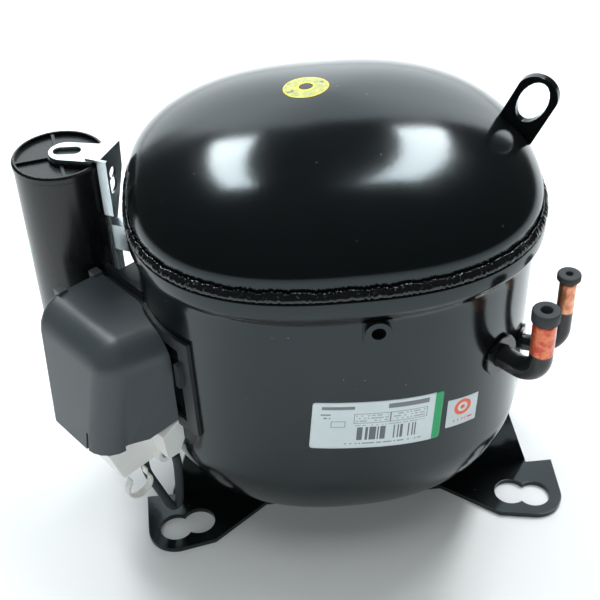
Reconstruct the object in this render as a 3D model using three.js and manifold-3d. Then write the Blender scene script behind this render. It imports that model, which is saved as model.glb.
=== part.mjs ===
// Hermetic reciprocating compressor: a welded steel shell on two base brackets, with a sprung
// motor and piston pump inside, and a terminal box and start capacitor on its left side.
// Millimetres, +Z up. Lengths are set out from the centre of the base hole pattern, on the
// surface that the feet stand on, and the last lines move the whole model so that its origin is
// the centre of its footprint.
import * as THREE from 'three';
import { mergeVertices } from 'three/addons/utils/BufferGeometryUtils.js';
import Module from 'manifold-3d';

const wasm = await Module();
wasm.setup();

// ---------------------------------------------------------------- driving dimensions

const GAP = 0.3;                     // between pieces that touch or are welded
const ROUND = 56;                    // points round the shell outline

// Shell: every level is a superellipse.
const SHELL_LENGTH = 203.8;          // across the dome's mouth, along X
const SHELL_WIDTH = 183;             // across the dome's mouth, along Y
const SHELL_POWER = 2.54;
const WALL_POWER = 2.3;              // the same for the lower shell, which has rounder corners
const SHELL_X = -5;                  // shell centre from the hole pattern's centre
const SHELL_Y = 3;
const SHELL_WALL = 3;
const FLOOR_Z = 13;                  // underside of the shell
const BOWL_RADIUS = 56;              // rounding between the floor and the wall
const WALL_DRAFT = 0.016;            // narrowing of the wall per mm of height
const SHOULDER_Z = 170;              // where the wall starts to step out to the belled rim
const SHOULDER_RISE = 10;
const BAND_OUT = 3.7;                // belled rim outside the dome, front and rear
const BAND_OUT_ENDS = 2.5;           // the same at the two ends
const BAND_FIT = 0.5;                // least space between the rim and the dome's skirt
const BAND_TOP_Z = 187.6;
const WALL_INSET = 0.4;              // wall inside the dome outline, just under the shoulder
const DOME_TOP_Z = 240;
const DOME_STRAIGHT_Z = 195.7;       // top of the dome's upright skirt
const DOME_POWER = 1.68;             // of the dome's upright section
const DOME_FLAT_SHARE = 0.03;        // small flat at the dome's top
const BEAD_RISE = 4.6;

// Base brackets.
const PLATE = 3;
const HOLE_R = 9;
const OUTER_HOLE = { x: 101.6, y: 50.8 };
const INNER_HOLE = { x: 88.9, y: 47.6 };
const BEND_Y = 24.5;                 // front face of the upright web
const BEND_RADIUS = 4;
const FOOT_REACH = 15.5;             // foot edge from the outer hole's centre
const WEB_FOOT_HALF = 104;           // half-length of the web at the flange
const WEB_TOP_HALF = 89;
const WEB_TOP_Z = 46;
const FLANGE_MIDDLE_Y = 38;          // front edge of the flange under the shell
const FLANGE_CORNER = { front: 118, rear: 105, y: 26 };

// Pump and motor, on the crankshaft's axis.
const CRANK_X = -16;                 // crank axis from the shell's centre
const BORE = 36.5;
const STROKE = 25;
const ROD_LENGTH = 50;
const CYLINDER_Z = 172;
const PISTON_CLEARANCE = 0.05;
const JOURNAL_R = 11;
const RUNNING_CLEARANCE = 0.05;
const CRANKPIN_R = 8;
const STATOR_SIDE = 118;
const STATOR_BOTTOM_Z = 66;
const STATOR_STACK = 50;
const AIR_GAP = 0.6;
const ROTOR_R = 33;
const END_TURN_HEIGHT = 17;
const DECK_Z = 137;
const DECK_THICK = 11;
const SPRING_R = 8;
const SPRING_WIRE_R = 1.2;
const SPRING_TURNS = 4;
const SPRING_PLACE = 43;             // spring axes from the crank axis, in X and in Y
const SPRING_LOW_Z = 37.5;
const SPRING_HIGH_Z = 60.7;
const LEG_Z = 116.3;                 // underside of the crankcase legs, on the stator
const PIN_LOW_Z = 157.3;             // underside of the crankpin, just above the crank web
const ROD_THICK = 12;
const PISTON_FRONT = 14;             // crown beyond the wrist pin
const PISTON_BACK = 11;
const BARREL = { start: 30, half: 27, low: 140, high: 197 };
const PLATE_STACK = { gasket: 1, valves: 4, head: 18 };

// Pieces welded to the outside, from the shell's centre. The eye's up distances run along its
// leaning middle line, from its foot on the dome.
const EYE = {
  x: 92.1, y: 5.5, z: 205.9, turn: -30, lean: 24, thick: 4, width: 21.1, sink: 8, top: 36, round: 10.7,
  holeUp: 21.4, holeTall: 24, holeWide: 14.2,
};
const BOSS = { x: 10.2, z: 167, face: 94.5, blockFace: 92.2, side: 13.5, radius: 6.2, hole: 3.4 };

// Connecting tubes on the right side.
const SUCTION = { outer: 5.8, inner: 4.8, x: 70, y: -63, z: 124, turn: -52, reach: 24.5, top: 166, bend: 13 };
const DISCHARGE = { outer: 4.3, inner: 3.4, x: 86, y: -44, z: 113, turn: -24, reach: 20.7, top: 161, bend: 14 };
const COLLAR_WIDE = 5.2;             // weld collar outside its tube, each side
const COLLAR_THICK = 2.2;
const SUCTION_PLUG = { radius: 6.8, height: 6.5, hole: 2.8, stem: 4.6, depth: 9 };
const DISCHARGE_PLUG = { radius: 5.9, height: 3.4, hole: 1.7, stem: 3.2, depth: 9 };

// Terminal box: its own frame has +X pointing away from the shell and +Y towards the right-hand side.
const BOX_TURN = 216.9;              // direction that the box faces, degrees round Z
const BOX_BACK = 90;                 // the cover's back, before it is cut to the shell's curve
const COVER_TOP = { z: 143, outer: 137.5, left: -84, right: -17 };
const COVER_LOW = { z: 76, outer: 146.5, left: -72.5, right: -24 };
const COVER_WALL = 2.2;
const COVER_EDGE = 15;               // rounding of the top and of the outer right-hand edge
const COVER_LEFT_EDGE = 5;           // rounding of the outer left-hand edge
const COVER_BACK_RIGHT = -6.5;       // right-hand side at the back, where the cover is widest
const COVER_RISE = 14;               // of the right-hand side's lower edge at the shell
const COVER_BACK_LEFT = 98.5;        // back edge on the left, where it stands clear of the shell
const FRAME = { left: -80.5, right: 1, low: 84, high: 146, bar: 7, thick: 2, lip: 2.6, plateX: 92.4 };
const LATCH = { low: 117, high: 131, thick: 3.6, outer: 108 };
// The terminal block: its side outline below the cover, the wing up the shell, and the open turret.
const BLOCK_SIDE = [[97, 66], [104, 62], [112, 57], [122, 56], [135, 55]];
const BLOCK = { back: 92, front: 141.5, left: -27, long: 38, wingLeft: -14, wingLong: 20 };
const BLOCK_WING = { back: 96, front: 116, low: 64, high: 84, shoulder: 5.2, step: 0.6 };
const TURRET = { radius: 5.6, bore: 3, length: 16, depth: 10, x: 109.7, y: -22.5, z: 59 };
const TIE = { outer: 8, inner: 6.8, x: 129.6, z: 46.2, top: 54.6, wide: 4, y: -23.5, sweep: 280 };
const LEAD_R = 2.4;
const LEAD_ROUTE = [
  [118.6, -32, 53], [118.2, -31, 44], [114.6, -29, 31], [109.5, -27, 15], [105.8, -27, 11.6],
  [104.4, -25, 17], [104, -23.5, 31], [104.8, -21.2, 48], [106.6, -19.4, 58.5],
];
const KEYHOLE = { small: 3.1, smallX: 10.6, smallZ: 191.5, big: 4.3, bigX: 9, bigZ: 184.5 };
const TERMINAL_DIRECTION = 197;      // of the hermetic terminal, degrees round the shell's centre
const TERMINAL_TURN = 192;           // direction that it faces
const TERMINAL_Z = 114;
const TERMINAL_R = 15;
const PIN_CIRCLE = 8;
const PIN_R = 1.5;

// Start capacitor and its bracket. The bracket's frame has +X along its upright plate, away from
// the front, and +Y away from the shell.
const CAN_R = 23.4;
const CAN_LENGTH = 113;
const CAN_TOP_Z = 201.4;
const CAN_X = -141.1;
const CAN_Y = 29.3;
const CAP_HEIGHT = 3.6;
const CAP_LIP = 0.5;
const CAP_RIM = 1.9;
const CAP_RECESS = 2.1;
const STRAP = {
  x: -120.9, y: 15.3, turn: 61.9, thick: 1.5, width: 20.8, top: 204.4, shoulder: 172,
  lugLow: 149.5, lugHigh: 165,
};
const TONGUE = { x: 3.9, y: 20.4, radius: 8.6, slot: 3.5, slotLength: 5.4, step: 1.1 };

// ---------------------------------------------------------------- finishes

const finish = (color, roughness, metalness) => ({ color, roughness, metalness });
const BLACK_PAINT = finish(0x0b0d0e, 0.18, 0.0);
const STEEL = finish(0x9a9da0, 0.35, 0.9);
const CAST_IRON = finish(0x5b5e60, 0.6, 0.7);
const COPPER = finish(0xb87046, 0.35, 0.9);
const RUBBER = finish(0x2b3032, 0.7, 0.0);
const GREY_PLASTIC = finish(0x46535a, 0.5, 0.0);
const BLACK_PLASTIC = finish(0x15181a, 0.45, 0.0);
const WHITE_NYLON = finish(0xe9e8e0, 0.45, 0.0);
const ZINC = finish(0xb9cdd2, 0.3, 0.85);
const VARNISH = finish(0x7c3f22, 0.4, 0.2);
const ALUMINIUM = finish(0xb4b6b8, 0.4, 0.8);

// ---------------------------------------------------------------- small tools

const rad = THREE.MathUtils.degToRad;
const range = (count) => Array.from({ length: count }, (unused, i) => i);

/** A geometry with only merged positions, as a solid that can be cut and joined. */
function solid(geometry) {
  const bare = geometry.clone();
  bare.deleteAttribute('normal');
  bare.deleteAttribute('uv');
  const merged = mergeVertices(bare, 1e-4);
  const vertProperties = new Float32Array(merged.attributes.position.array);
  const triVerts = new Uint32Array(merged.index.array);
  return new wasm.Manifold(new wasm.Mesh({ numProp: 3, vertProperties, triVerts }));
}

/** The geometry of a solid. */
function shapeOf(body) {
  const mesh = body.getMesh();
  const geometry = new THREE.BufferGeometry();
  geometry.setAttribute('position', new THREE.BufferAttribute(new Float32Array(mesh.vertProperties), 3));
  geometry.setIndex(new THREE.BufferAttribute(new Uint32Array(mesh.triVerts), 1));
  return geometry;
}

const joined = (...pieces) => shapeOf(pieces.map(solid).reduce((sum, piece) => sum.add(piece)));
const cut = (piece, ...tools) => shapeOf(tools.map(solid).reduce((rest, tool) => rest.subtract(tool), solid(piece)));
const common = (piece, other) => shapeOf(solid(piece).intersect(solid(other)));

/** A copy of a geometry turned by degrees about X, then Y, then Z, and then moved. */
function placed(geometry, x, y, z, turnX = 0, turnY = 0, turnZ = 0) {
  const copy = geometry.clone();
  copy.rotateX(rad(turnX));
  copy.rotateY(rad(turnY));
  copy.rotateZ(rad(turnZ));
  copy.translate(x, y, z);
  return copy;
}

/** An upright cylinder from z = low to z = high. */
function rod(radius, low, high, sides = 24) {
  const geometry = new THREE.CylinderGeometry(radius, radius, high - low, sides);
  return placed(geometry, 0, 0, (low + high) / 2, 90);
}

/** An upright tube from z = low to z = high. */
const pipe = (outer, inner, low, high, sides = 24) => turned(
  [[inner, low], [outer, low], [outer, high], [inner, high], [inner, low]], sides);

/** A solid of revolution about Z, from [radius, z] points that close or start and end on the axis. */
function turned(points, sides = 32) {
  const geometry = new THREE.LatheGeometry(points.map(([r, z]) => new THREE.Vector2(r, z)), sides);
  return placed(geometry, 0, 0, 0, 90);
}

/** A box from its lowest and highest corners. */
function block(x0, y0, z0, x1, y1, z1) {
  const geometry = new THREE.BoxGeometry(x1 - x0, y1 - y0, z1 - z0);
  geometry.translate((x0 + x1) / 2, (y0 + y1) / 2, (z0 + z1) / 2);
  return geometry;
}

/** A flat outline drawn in X and Y, raised from z = low to z = high. */
function raised(shape, low, high, curveSegments = 8) {
  const geometry = new THREE.ExtrudeGeometry(shape, { depth: high - low, bevelEnabled: false, curveSegments });
  geometry.translate(0, 0, low);
  return geometry;
}

/** A rectangle with rounded corners, centred on the origin. */
function roundedRectangle(width, height, radius) {
  const shape = new THREE.Shape();
  const x = width / 2 - radius;
  const y = height / 2 - radius;
  shape.absarc(x, y, radius, 0, Math.PI / 2);
  shape.absarc(-x, y, radius, Math.PI / 2, Math.PI);
  shape.absarc(-x, -y, radius, Math.PI, 1.5 * Math.PI);
  shape.absarc(x, -y, radius, 1.5 * Math.PI, 2 * Math.PI);
  return shape;
}

const circle = (radius, x = 0, y = 0) => new THREE.Shape().absarc(x, y, radius, 0, 2 * Math.PI);

/** A round bar along a curve. */
function bar(curve, radius, sides, steps) {
  const section = circle(radius);
  const options = { steps, bevelEnabled: false, extrudePath: curve, curveSegments: sides };
  return new THREE.ExtrudeGeometry(section, options);
}

/** Triangles between two neighbouring outlines of the same number of points. */
function band(faces, lower, upper, count) {
  range(count).forEach((i) => {
    const j = (i + 1) % count;
    faces.push(lower + i, lower + j, upper + j, lower + i, upper + j, upper + i);
  });
}

/** A body through level outlines, each { z, points }, with a flat face at both ends. */
function lofted(levels) {
  const count = levels[0].points.length;
  const positions = levels.flatMap(({ z, points }) => points.flatMap(([x, y]) => [x, y, z]));
  const faces = [];
  range(levels.length - 1).forEach((k) => band(faces, k * count, (k + 1) * count, count));
  const last = (levels.length - 1) * count;
  const bottom = positions.length / 3;
  [levels[0], levels[levels.length - 1]].forEach(({ z, points }) => {
    const x = points.reduce((sum, point) => sum + point[0], 0) / count;
    const y = points.reduce((sum, point) => sum + point[1], 0) / count;
    positions.push(x, y, z);
  });
  range(count).forEach((i) => {
    const j = (i + 1) % count;
    faces.push(bottom, j, i, bottom + 1, last + i, last + j);
  });
  return indexed(positions, faces);
}

/** A ring through level outlines whose section closes on itself, anticlockwise. */
function ringed(levels) {
  const count = levels[0].points.length;
  const positions = levels.flatMap(({ z, points }) => points.flatMap(([x, y]) => [x, y, z]));
  const faces = [];
  levels.forEach((unused, k) => band(faces, k * count, ((k + 1) % levels.length) * count, count));
  return indexed(positions, faces);
}

function indexed(positions, faces) {
  const geometry = new THREE.BufferGeometry();
  geometry.setAttribute('position', new THREE.Float32BufferAttribute(positions, 3));
  geometry.setIndex(faces);
  return geometry;
}

/** Points of the superellipse |x/a|^n + |y/b|^n = 1. */
function superellipse(halfLength, halfWidth, power = SHELL_POWER) {
  return range(ROUND).map((i) => {
    const c = Math.cos((2 * Math.PI * i) / ROUND);
    const s = Math.sin((2 * Math.PI * i) / ROUND);
    const along = Math.sign(c) * Math.abs(c) ** (2 / power);
    const across = Math.sign(s) * Math.abs(s) ** (2 / power);
    return [halfLength * along, halfWidth * across];
  });
}

const whole = new THREE.Group();
const names = new Set();

/** Adds one named sub-part to a group. */
function add(group, name, geometry, look) {
  if (names.has(name)) {
    throw new Error(`two pieces are called ${name}`);
  }
  names.add(name);
  const mesh = new THREE.Mesh(geometry, new THREE.MeshStandardMaterial(look));
  mesh.name = name;
  group.add(mesh);
  return mesh;
}

function group(x, y, z, turnZ = 0, parent = whole) {
  const made = new THREE.Group();
  made.position.set(x, y, z);
  made.rotation.z = rad(turnZ);
  parent.add(made);
  return made;
}

// ---------------------------------------------------------------- shell

const HALF_LENGTH = SHELL_LENGTH / 2;
const HALF_WIDTH = SHELL_WIDTH / 2;

/** A shell level at a height, inside the dome's outline by an inset, which may differ at the ends. */
const level = (z, inset, endInset = inset, power = SHELL_POWER) => ({
  z,
  points: superellipse(HALF_LENGTH - endInset, HALF_WIDTH - inset, power),
});

/** A level of the lower shell's wall or floor. */
const wallLevel = (z, inset) => level(z, inset, inset, WALL_POWER);

/** A level of the belled rim. */
const rimLevel = (z, grow) => level(z, -BAND_OUT - grow, Math.min(-BAND_OUT_ENDS - grow, -BAND_FIT));

/** The same outline drawn in towards the axis by a share. */
const scaledLevel = (z, grow, share) => ({
  z,
  points: superellipse((HALF_LENGTH + grow) * share, (HALF_WIDTH + grow) * share),
});

/** Levels of the lower shell, from the floor up to the rim, grown outwards by a distance. */
function lowerLevels(grow, steps = 6) {
  const bowlTop = FLOOR_Z + BOWL_RADIUS;
  const wallInset = (z) => WALL_INSET + (SHOULDER_Z - z) * WALL_DRAFT - grow;
  const radius = BOWL_RADIUS + grow;
  const bowl = range(steps + 1).map((i) => {
    const angle = (Math.PI / 2) * (i / steps);
    return wallLevel(bowlTop - radius * Math.cos(angle), wallInset(bowlTop) + radius * (1 - Math.sin(angle)));
  });
  return [
    ...bowl,
    wallLevel(SHOULDER_Z, wallInset(SHOULDER_Z)),
    rimLevel(SHOULDER_Z + SHOULDER_RISE, grow),
    rimLevel(BAND_TOP_Z, grow),
  ];
}

/** Levels of the dome, from its lower edge to its top, grown outwards by a distance. */
function domeLevels(grow, bottom, steps = 10) {
  const crown = range(steps).map((i) => {
    const angle = (Math.PI / 2) * (i / steps);
    const share = Math.cos(angle) ** (2 / DOME_POWER);
    const rise = Math.sin(angle) ** (2 / DOME_POWER);
    return scaledLevel(DOME_STRAIGHT_Z + (DOME_TOP_Z + grow - DOME_STRAIGHT_Z) * rise, grow, share);
  });
  return [level(bottom, -grow), ...crown, scaledLevel(DOME_TOP_Z + grow, grow, DOME_FLAT_SHARE)];
}

const shellGroup = group(SHELL_X, SHELL_Y, 0);
const DOME_BOTTOM_Z = SHOULDER_Z + SHOULDER_RISE + GAP;
const shellOutside = lofted(lowerLevels(GAP));
const domeOutside = lofted(domeLevels(GAP, DOME_BOTTOM_Z));

/** The wall's half-length and half-width at a height. */
function wallAt(z) {
  const inset = WALL_INSET + (SHOULDER_Z - z) * WALL_DRAFT;
  return [HALF_LENGTH - inset, HALF_WIDTH - inset];
}

/** The point on the wall in a direction from the shell's centre, as [x, y]. */
function wallPoint(z, x, y) {
  const [halfLength, halfWidth] = wallAt(z);
  const sum = Math.abs(x / halfLength) ** WALL_POWER + Math.abs(y / halfWidth) ** WALL_POWER;
  const scale = sum ** (-1 / WALL_POWER);
  return [x * scale, y * scale];
}

function connectingTube(name, finishes, tube, plug) {
  const [wallX, wallY] = wallPoint(tube.z, tube.x, tube.y);
  const turn = rad(tube.turn);
  const out = new THREE.Vector3(Math.cos(turn), Math.sin(turn), 0);
  const root = new THREE.Vector3(wallX, wallY, tube.z);
  const start = root.clone().addScaledVector(out, -14);
  const corner = root.clone().addScaledVector(out, tube.reach);
  const bendStart = corner.clone().addScaledVector(out, -tube.bend);
  const bendEnd = corner.clone().add(new THREE.Vector3(0, 0, tube.bend));
  const centre = bendStart.clone().add(new THREE.Vector3(0, 0, tube.bend));
  const path = new THREE.CurvePath();
  path.add(new THREE.LineCurve3(start, bendStart));
  const arc = range(9).map((i) => {
    const angle = (Math.PI / 2) * (i / 8);
    return centre.clone()
      .addScaledVector(out, tube.bend * Math.sin(angle))
      .add(new THREE.Vector3(0, 0, -tube.bend * Math.cos(angle)));
  });
  path.add(new THREE.CatmullRomCurve3(arc));
  const plugBottom = tube.top - plug.height;
  path.add(new THREE.LineCurve3(bendEnd, new THREE.Vector3(corner.x, corner.y, plugBottom - GAP)));
  const wallOf = circle(tube.outer);
  wallOf.holes.push(circle(tube.inner));
  const options = { steps: 18, bevelEnabled: false, extrudePath: path, curveSegments: 6 };
  add(shellGroup, `${name}_tube`, new THREE.ExtrudeGeometry(wallOf, options), finishes);
  const ring = placed(pipe(tube.outer + COLLAR_WIDE, tube.outer + GAP, -6, COLLAR_THICK), 0, 0, 0, 0, 90);
  const collar = placed(ring, wallX, wallY, tube.z, 0, 0, tube.turn);
  add(shellGroup, `${name}_collar`, cut(collar, shellOutside), BLACK_PAINT);
  const plugShape = turned([
    [plug.hole, plugBottom - plug.depth], [plug.stem, plugBottom - plug.depth],
    [plug.stem, plugBottom], [plug.radius, plugBottom],
    [plug.radius, tube.top], [plug.hole, tube.top], [plug.hole, plugBottom - plug.depth],
  ], 20);
  add(shellGroup, `${name}_plug`, plugShape, RUBBER).position.set(corner.x, corner.y, 0);
  const hole = placed(rod(tube.outer + GAP, -12, 12, 16), 0, 0, 0, 0, 90);
  return { hole: placed(hole, wallX, wallY, tube.z, 0, 0, tube.turn), start };
}

const suction = connectingTube('suction', BLACK_PAINT, SUCTION, SUCTION_PLUG);
const discharge = connectingTube('discharge', BLACK_PAINT, DISCHARGE, DISCHARGE_PLUG);

// The electrical terminal passes through the wall behind the terminal box.
const [TERMINAL_X, TERMINAL_Y] = wallPoint(TERMINAL_Z, Math.cos(rad(TERMINAL_DIRECTION)),
  Math.sin(rad(TERMINAL_DIRECTION)));
const terminalHole = placed(
  placed(rod(TERMINAL_R + GAP, -14, 8, 32), 0, 0, 0, 0, 90), TERMINAL_X, TERMINAL_Y, TERMINAL_Z, 0, 0, TERMINAL_TURN);
const lowerShell = cut(lofted(lowerLevels(0)), lofted([
  ...lowerLevels(-SHELL_WALL, 4).slice(0, -1),
  rimLevel(BAND_TOP_Z + 1, -SHELL_WALL),
]), suction.hole, discharge.hole, terminalHole);
add(shellGroup, 'lower_shell', lowerShell, BLACK_PAINT);

const domeShell = cut(lofted(domeLevels(0, DOME_BOTTOM_Z)), lofted(domeLevels(-SHELL_WALL, DOME_BOTTOM_Z - 1, 6)));
add(shellGroup, 'upper_shell', domeShell, BLACK_PAINT);

// The bead's section, as [height above the rim, distance outside the dome as a share of the rim's].
const bead = [[0, 0.09], [0, 1], [1.4, 1.12], [3.6, 0.72], [BEAD_RISE, 0.34], [BEAD_RISE - 0.4, 0.09]];
const beadLevels = bead.map(([rise, share]) => level(
  BAND_TOP_Z + GAP + rise,
  Math.min(-BAND_OUT * share, -GAP),
  Math.min(-BAND_OUT_ENDS * share, -GAP)));
add(shellGroup, 'weld_bead', ringed(beadLevels), BLACK_PAINT);

// ---------------------------------------------------------------- base brackets

/** One L-section bracket, at the front for side = -1 and at the rear for side = 1. */
function baseBracket(name, side) {
  const inner = BEND_Y - PLATE;
  const section = new THREE.Shape();
  section.moveTo(-OUTER_HOLE.y - 2 * FOOT_REACH, 0);
  section.lineTo(-inner - BEND_RADIUS, 0);
  section.absarc(-inner - BEND_RADIUS, BEND_RADIUS, BEND_RADIUS, -Math.PI / 2, 0);
  section.lineTo(-inner, 2 * WEB_TOP_Z);
  section.lineTo(-BEND_Y, 2 * WEB_TOP_Z);
  section.lineTo(-BEND_Y, PLATE);
  section.lineTo(-OUTER_HOLE.y - 2 * FOOT_REACH, PLATE);
  const angle = placed(raised(section, -150, 150), 0, 0, 0, 90, 0, 90);
  const outline = new THREE.Shape();
  const footEnd = OUTER_HOLE.x + FOOT_REACH;
  const cornerX = side < 0 ? FLANGE_CORNER.front : FLANGE_CORNER.rear;
  outline.moveTo(-cornerX, -FLANGE_CORNER.y);
  outline.lineTo(-footEnd, -OUTER_HOLE.y);
  outline.absarc(-OUTER_HOLE.x, -OUTER_HOLE.y, FOOT_REACH, Math.PI, 1.5 * Math.PI + 0.25);
  outline.lineTo(-INNER_HOLE.x + 9, -INNER_HOLE.y - FOOT_REACH + 1);
  outline.lineTo(-50, -FLANGE_MIDDLE_Y);
  outline.lineTo(50, -FLANGE_MIDDLE_Y);
  outline.lineTo(INNER_HOLE.x - 9, -INNER_HOLE.y - FOOT_REACH + 1);
  outline.absarc(OUTER_HOLE.x, -OUTER_HOLE.y, FOOT_REACH, 1.5 * Math.PI - 0.25, 2 * Math.PI);
  outline.lineTo(cornerX, -FLANGE_CORNER.y);
  const flange = raised(outline, -1, BEND_RADIUS + 2);
  const cradle = new THREE.Shape();
  cradle.moveTo(-WEB_FOOT_HALF, 0);
  cradle.lineTo(WEB_FOOT_HALF, 0);
  cradle.lineTo(WEB_TOP_HALF, WEB_TOP_Z);
  cradle.lineTo(-WEB_TOP_HALF, WEB_TOP_Z);
  const web = placed(raised(cradle, 0, 4 * PLATE), 0, -inner + PLATE / 2, 0, 90);
  const holes = [-1, 1].flatMap((end) => [OUTER_HOLE, INNER_HOLE].map(
    (hole) => placed(rod(HOLE_R, -2, PLATE + 3, 32), end * hole.x, -hole.y, 0)));
  const plate = common(angle, joined(flange, web));
  const bracket = cut(plate, joined(...holes));
  const turnedBracket = side < 0 ? bracket : placed(bracket, 0, 0, 0, 0, 0, 180);
  add(whole, name, cut(turnedBracket, placed(shellOutside, SHELL_X, SHELL_Y, 0)), BLACK_PAINT);
}

baseBracket('front_base_bracket', -1);
baseBracket('rear_base_bracket', 1);

// ---------------------------------------------------------------- pieces welded to the shell

/** The lifting eye, an oval-holed plate that leans outwards from the dome's shoulder. */
function liftingEye() {
  const half = EYE.width / 2;
  const centre = EYE.top - EYE.round;
  const corner = Math.acos(half / EYE.round);
  const shape = new THREE.Shape();
  shape.moveTo(-half, -EYE.sink);
  shape.lineTo(half, -EYE.sink);
  shape.absarc(0, centre, EYE.round, corner, Math.PI - corner);
  shape.lineTo(-half, -EYE.sink);
  const hole = new THREE.Path();
  hole.absellipse(0, EYE.holeUp, EYE.holeWide / 2, EYE.holeTall / 2, 0, 2 * Math.PI);
  shape.holes.push(hole);
  const flat = raised(shape, -EYE.thick / 2, EYE.thick / 2, 10);
  const leaning = placed(flat, EYE.x, EYE.y, EYE.z, 90, EYE.lean, EYE.turn);
  return cut(leaning, domeOutside);
}

add(shellGroup, 'lifting_eye', liftingEye(), BLACK_PAINT);

/** A threaded ring on a square base, just under the front of the shell's belled rim. */
function threadedBoss() {
  const base = block(
    BOSS.x - BOSS.side / 2, -BOSS.blockFace, BOSS.z - BOSS.side / 2,
    BOSS.x + BOSS.side / 2, -HALF_WIDTH + 12, BOSS.z + BOSS.side);
  const ring = placed(rod(BOSS.radius, 0, 12), BOSS.x, -BOSS.face, BOSS.z, -90);
  const hole = placed(rod(BOSS.hole, -1, 30, 20), BOSS.x, -BOSS.face, BOSS.z, -90);
  return cut(joined(base, ring), hole, shellOutside);
}

add(shellGroup, 'threaded_boss', threadedBoss(), BLACK_PAINT);

// ---------------------------------------------------------------- terminal and its parts

const terminalGroup = group(TERMINAL_X, TERMINAL_Y, TERMINAL_Z, TERMINAL_TURN, shellGroup);
const pinPlaces = [90, 210, 330].map((angle) => [PIN_CIRCLE * Math.cos(rad(angle)), PIN_CIRCLE * Math.sin(rad(angle))]);

/** A bar along the terminal's +X at a place across it. */
const terminalBar = (radius, low, high, [y, z], sides = 12) => placed(rod(radius, low, high, sides), 0, y, z, 0, 90);

const pinHoles = pinPlaces.map((place) => terminalBar(PIN_R + GAP, -20, 30, place));
add(terminalGroup, 'terminal_feedthrough', cut(terminalBar(TERMINAL_R, -5, 0.5, [0, 0], 32), ...pinHoles), STEEL);
pinPlaces.forEach((place, i) => {
  add(terminalGroup, `terminal_pin_${i + 1}`, terminalBar(PIN_R, -11, 13, place), COPPER);
});
add(terminalGroup, 'start_relay', cut(block(4, -13, -17, 22, 13, 1.5), ...pinHoles), WHITE_NYLON);
add(terminalGroup, 'overload_protector', cut(terminalBar(11, 4, 17, [0, 13], 24), ...pinHoles), BLACK_PLASTIC);

// ---------------------------------------------------------------- terminal box

const boxGroup = group(0, 0, 0, BOX_TURN);

/** A body of the shell's frame, in the terminal box's frame. */
const seenFromBox = (geometry) => placed(placed(geometry, SHELL_X, SHELL_Y, 0), 0, 0, 0, 0, 0, -BOX_TURN);

/** The outline of the cover at a height, drawn in by one inset, and by another on the left. */
function coverOutline(z, inset, leftInset, back) {
  const share = (z - COVER_LOW.z) / (COVER_TOP.z - COVER_LOW.z);
  const between = (name) => COVER_LOW[name] + (COVER_TOP[name] - COVER_LOW[name]) * share;
  const left = between('left') + leftInset;
  const right = between('right') - inset;
  const outer = between('outer') - inset;
  const radius = Math.max(COVER_EDGE - inset, 1);
  const leftRadius = Math.max(COVER_LEFT_EDGE - leftInset, 1);
  const corner = (x, y, quarter, round) => range(6).map((i) => {
    const angle = (Math.PI / 2) * (quarter + i / 5);
    return [x + round * Math.cos(angle), y + round * Math.sin(angle)];
  });
  return [
    ...corner(outer - radius, right - radius, 0, radius),
    [back, COVER_BACK_RIGHT - inset], [back, left],
    ...corner(outer - leftRadius, left + leftRadius, 3, leftRadius),
  ];
}

/** The cover's body, with its top rounded over, drawn in by a wall. */
function coverBody(wall, bottom, back) {
  const radius = COVER_EDGE - wall;
  const crown = range(6).map((i) => {
    const angle = (Math.PI / 2) * (i / 5);
    const z = COVER_TOP.z - wall - radius * (1 - Math.sin(angle));
    const turnedIn = radius * (1 - Math.cos(angle));
    return { z, points: coverOutline(z, wall + turnedIn, wall + turnedIn / 4, back) };
  });
  return lofted([{ z: bottom, points: coverOutline(bottom, wall, wall, back) }, ...crown]);
}

/** Mounting frame: a flange that hugs the shell, a back plate, a lip in the cover's mouth, a latch. */
function terminalFrame() {
  const { left, right, low, high, bar: barWide, thick, lip, plateX } = FRAME;
  const window = block(40, left + barWide, low + barWide, 140, right - barWide, high - barWide);
  const flange = common(
    cut(block(60, left / 2, low, 130, right, high), window),
    seenFromBox(lofted(lowerLevels(GAP + thick))));
  const backPlate = cut(block(plateX, left, low, plateX + lip, left / 4, high), window);
  const lipOutside = COVER_WALL + GAP;
  const lipRing = cut(
    common(coverBody(lipOutside, low + 1, 62), block(50, left, low, COVER_BACK_LEFT + 2, right, high)),
    coverBody(lipOutside + lip, low, 50));
  const latch = block(96, COVER_BACK_RIGHT - 1, LATCH.low, LATCH.outer, COVER_BACK_RIGHT - 1 + LATCH.thick, LATCH.high);
  const coverRoom = cut(
    coverBody(-GAP, COVER_LOW.z - 1, COVER_BACK_LEFT - GAP),
    coverBody(COVER_WALL + GAP, COVER_LOW.z - 2, BOX_BACK),
    seenFromBox(lofted(lowerLevels(GAP + thick))));
  return cut(joined(flange, backPlate, lipRing, latch), seenFromBox(shellOutside), coverRoom);
}

const coverNotch = block(
  COVER_LOW.outer - 28, COVER_LOW.right - 8, COVER_LOW.z - 1,
  COVER_LOW.outer - 14, COVER_LOW.right + 9, COVER_LOW.z + 3.5);
const coverSlit = block(
  COVER_LOW.outer - 6, COVER_LOW.right - 15.5, COVER_LOW.z - 1,
  COVER_LOW.outer + 3, COVER_LOW.right - 14, COVER_LOW.z + 11);

/** A wedge that slants the lower edge of the cover's right-hand side. */
function sideWedge() {
  const outer = COVER_LOW.outer - 20;
  const inner = COVER_BACK_LEFT + 4;
  const shape = new THREE.Shape();
  shape.moveTo(outer, COVER_LOW.z - 1);
  shape.lineTo(outer, COVER_LOW.z);
  shape.lineTo(inner, COVER_LOW.z + COVER_RISE);
  shape.lineTo(inner - 9, COVER_LOW.z + COVER_RISE);
  shape.lineTo(inner - 9, COVER_LOW.z - 1);
  return placed(raised(shape, 0, 34), 0, COVER_BACK_RIGHT + 3, 0, 90);
}

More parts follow.
